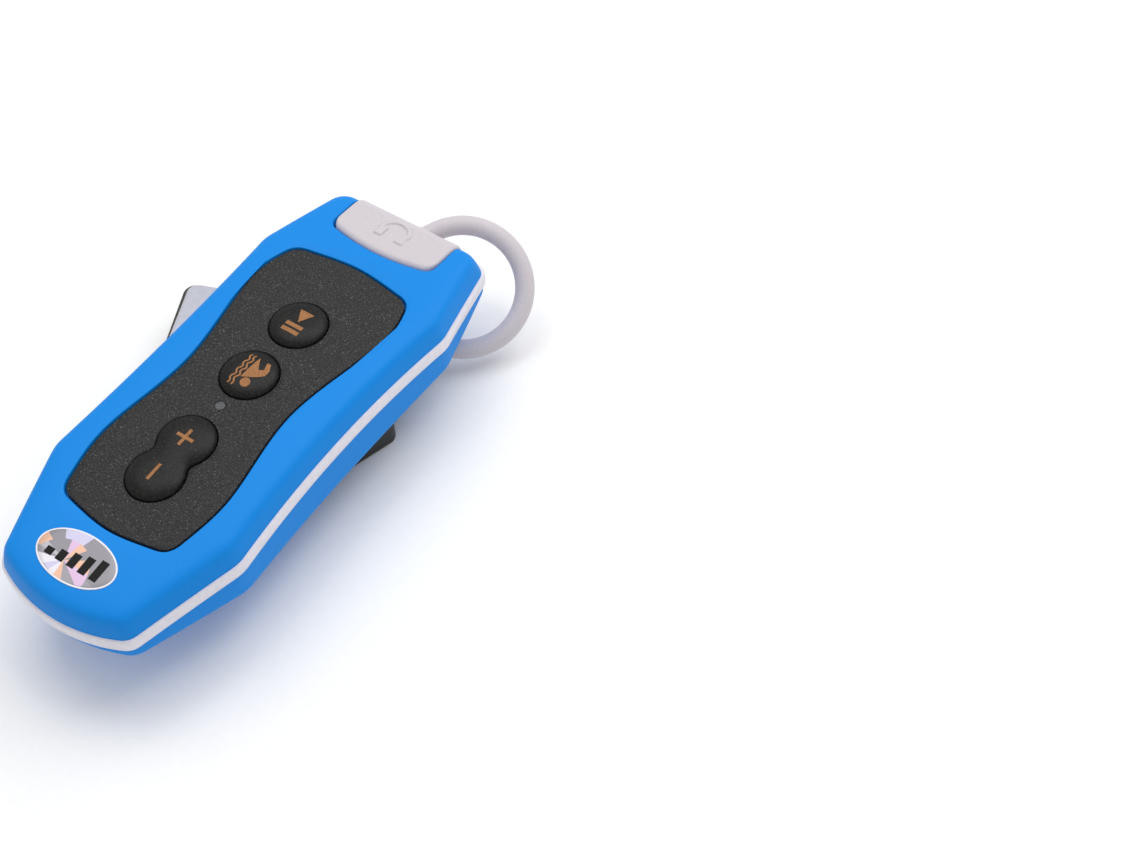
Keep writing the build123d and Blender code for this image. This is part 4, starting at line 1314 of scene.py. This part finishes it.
# ---- Status light ----------------------------------------------------------------------
# A small light-emitting diode cast in clear epoxy on the board, under a light pipe of
# polished acrylic that fills the pinhole in the face plate. Unlit, it looks smoky grey.
acrylic = grained_finish(
    "polished_acrylic", "#4A4C4F", 0.2, (0.6, 0.002, 0.2), ("#434548", "#525457"),
    ior=1.49, transmission_weight=0.35,
)
epoxy = grained_finish(
    "clear_cast_epoxy", "#E4DFC8", 0.18, (0.4, 0.002, 0.2), ("#DDD7BC", "#EAE6D2"),
    ior=1.55, transmission_weight=0.3,
)
give_finish(acrylic, "led_lens")
give_finish(epoxy, "status_led")


# ---- Keypad membrane -------------------------------------------------------------------
# A sheet of translucent silicone under the keys that keeps water off the board and springs
# each key back. It is moulded, so it is smooth and lets a little light into its depth.
membrane = grained_finish(
    "translucent_silicone", "#C9CBC6", 0.45, (0.5, 0.004, 0.3), ("#C1C3BD", "#D2D4CF"),
    ior=1.41, transmission_weight=0.25,
)
give_finish(membrane, "keypad_membrane")


# ---- Circuit board ---------------------------------------------------------------------
# A fibreglass board under green solder mask. The mask is thin, so the woven glass and the
# copper tracks below it show as a faint cross weave and lighter bands.
solder_mask, mask_shader = new_finish("green_solder_mask", "#1D5B34", 0.35, ior=1.55, coat_weight=0.2)
board_where = add_node(solder_mask, "ShaderNodeTexCoord")
glass_weave = 0.6
board_weave = add_node(
    solder_mask, "ShaderNodeTexWave",
    {"wave_type": "BANDS", "bands_direction": "DIAGONAL", "Scale": 0.314 / (glass_weave * MM),
     "Distortion": 0.4},
    {"Vector": board_where.outputs["Object"]},
)
tint_by(solder_mask, mask_shader, board_weave.outputs["Fac"], "#1A5530", "#21683C", 0.2, 0.8)
add_grain(solder_mask, mask_shader, 0.3, 0.006, 0.4)
give_finish(solder_mask, "main_board")


# ---- Board parts -----------------------------------------------------------------------
# What is soldered to the board: four dome switches in tinned frames, three chips moulded
# in black epoxy, a crystal in a drawn steel can, and ceramic resistors and capacitors.
mould_epoxy = grained_finish(
    "moulded_chip_epoxy", "#1C1D1F", 0.6, (0.12, 0.008, 0.6), ("#18191B", "#26272A"), ior=1.55,
)
drawn_steel = grained_finish(
    "drawn_nickel_steel", "#B9B5AC", 0.25, (0.25, 0.004, 0.4), ("#ADA99F", "#C5C1B9"), metallic=1.0,
)
stainless = grained_finish(
    "pressed_stainless", "#A8A9AA", 0.32, (0.2, 0.005, 0.5), ("#9A9B9C", "#B5B6B7"), metallic=1.0,
)
ceramic = grained_finish(
    "fired_ceramic", "#8C6F50", 0.55, (0.1, 0.006, 0.5), ("#7E6247", "#9A7D5D"), ior=1.7,
)
give_finish(mould_epoxy, "memory_chip", "processor_chip", "radio_chip")
give_finish(drawn_steel, "crystal")
give_finish(stainless, "play_switch", "mode_switch", "volume_up_switch", "volume_down_switch")
give_finish(ceramic, "board_passives")


# ---- Battery ---------------------------------------------------------------------------
# A lithium polymer cell in a heat-sealed aluminium laminate pouch, creased where it was
# folded, with black polyester tape over its seam and two silicone-insulated leads.
pouch = grained_finish(
    "aluminium_laminate_pouch", "#B4B6BA", 0.35, (3.0, 0.05, 0.6), ("#A6A8AD", "#C3C5C9"), metallic=0.85,
)
tape = grained_finish(
    "black_polyester_tape", "#202022", 0.4, (0.6, 0.006, 0.4), ("#1B1B1D", "#29292C"), ior=1.57,
)
give_finish(pouch, "battery_cell")
give_finish(tape, "battery_tape")
for lead_node, lead_low, lead_high in (
    ("battery_lead_positive", "#9E1B1B", "#B72626"), ("battery_lead_negative", "#151515", "#232323"),
):
    insulation = grained_finish(
        lead_node + "_insulation", lead_low, 0.45, (0.3, 0.004, 0.4), (lead_low, lead_high), ior=1.41,
    )
    give_finish(insulation, lead_node)


# ---- Headphone jack --------------------------------------------------------------------
# A socket moulded in black nylon with gold-plated spring contacts, and the plug that the
# cover carries: a silicone stub with a ring-shaped seal that grips the socket's mouth.
jack_nylon = grained_finish(
    "moulded_black_nylon", "#1D1D1E", 0.5, (0.3, 0.01, 0.5), ("#19191A", "#27272A"), ior=1.53,
)
gold_plate = grained_finish(
    "gold_plate", "#D9AE55", 0.22, (0.15, 0.002, 0.4), ("#CFA24A", "#E2B962"), metallic=1.0,
)
give_finish(jack_nylon, "jack_socket")
give_finish(gold_plate, "jack_contacts")
give_finish(silicone, "jack_plug", "plug_seal")
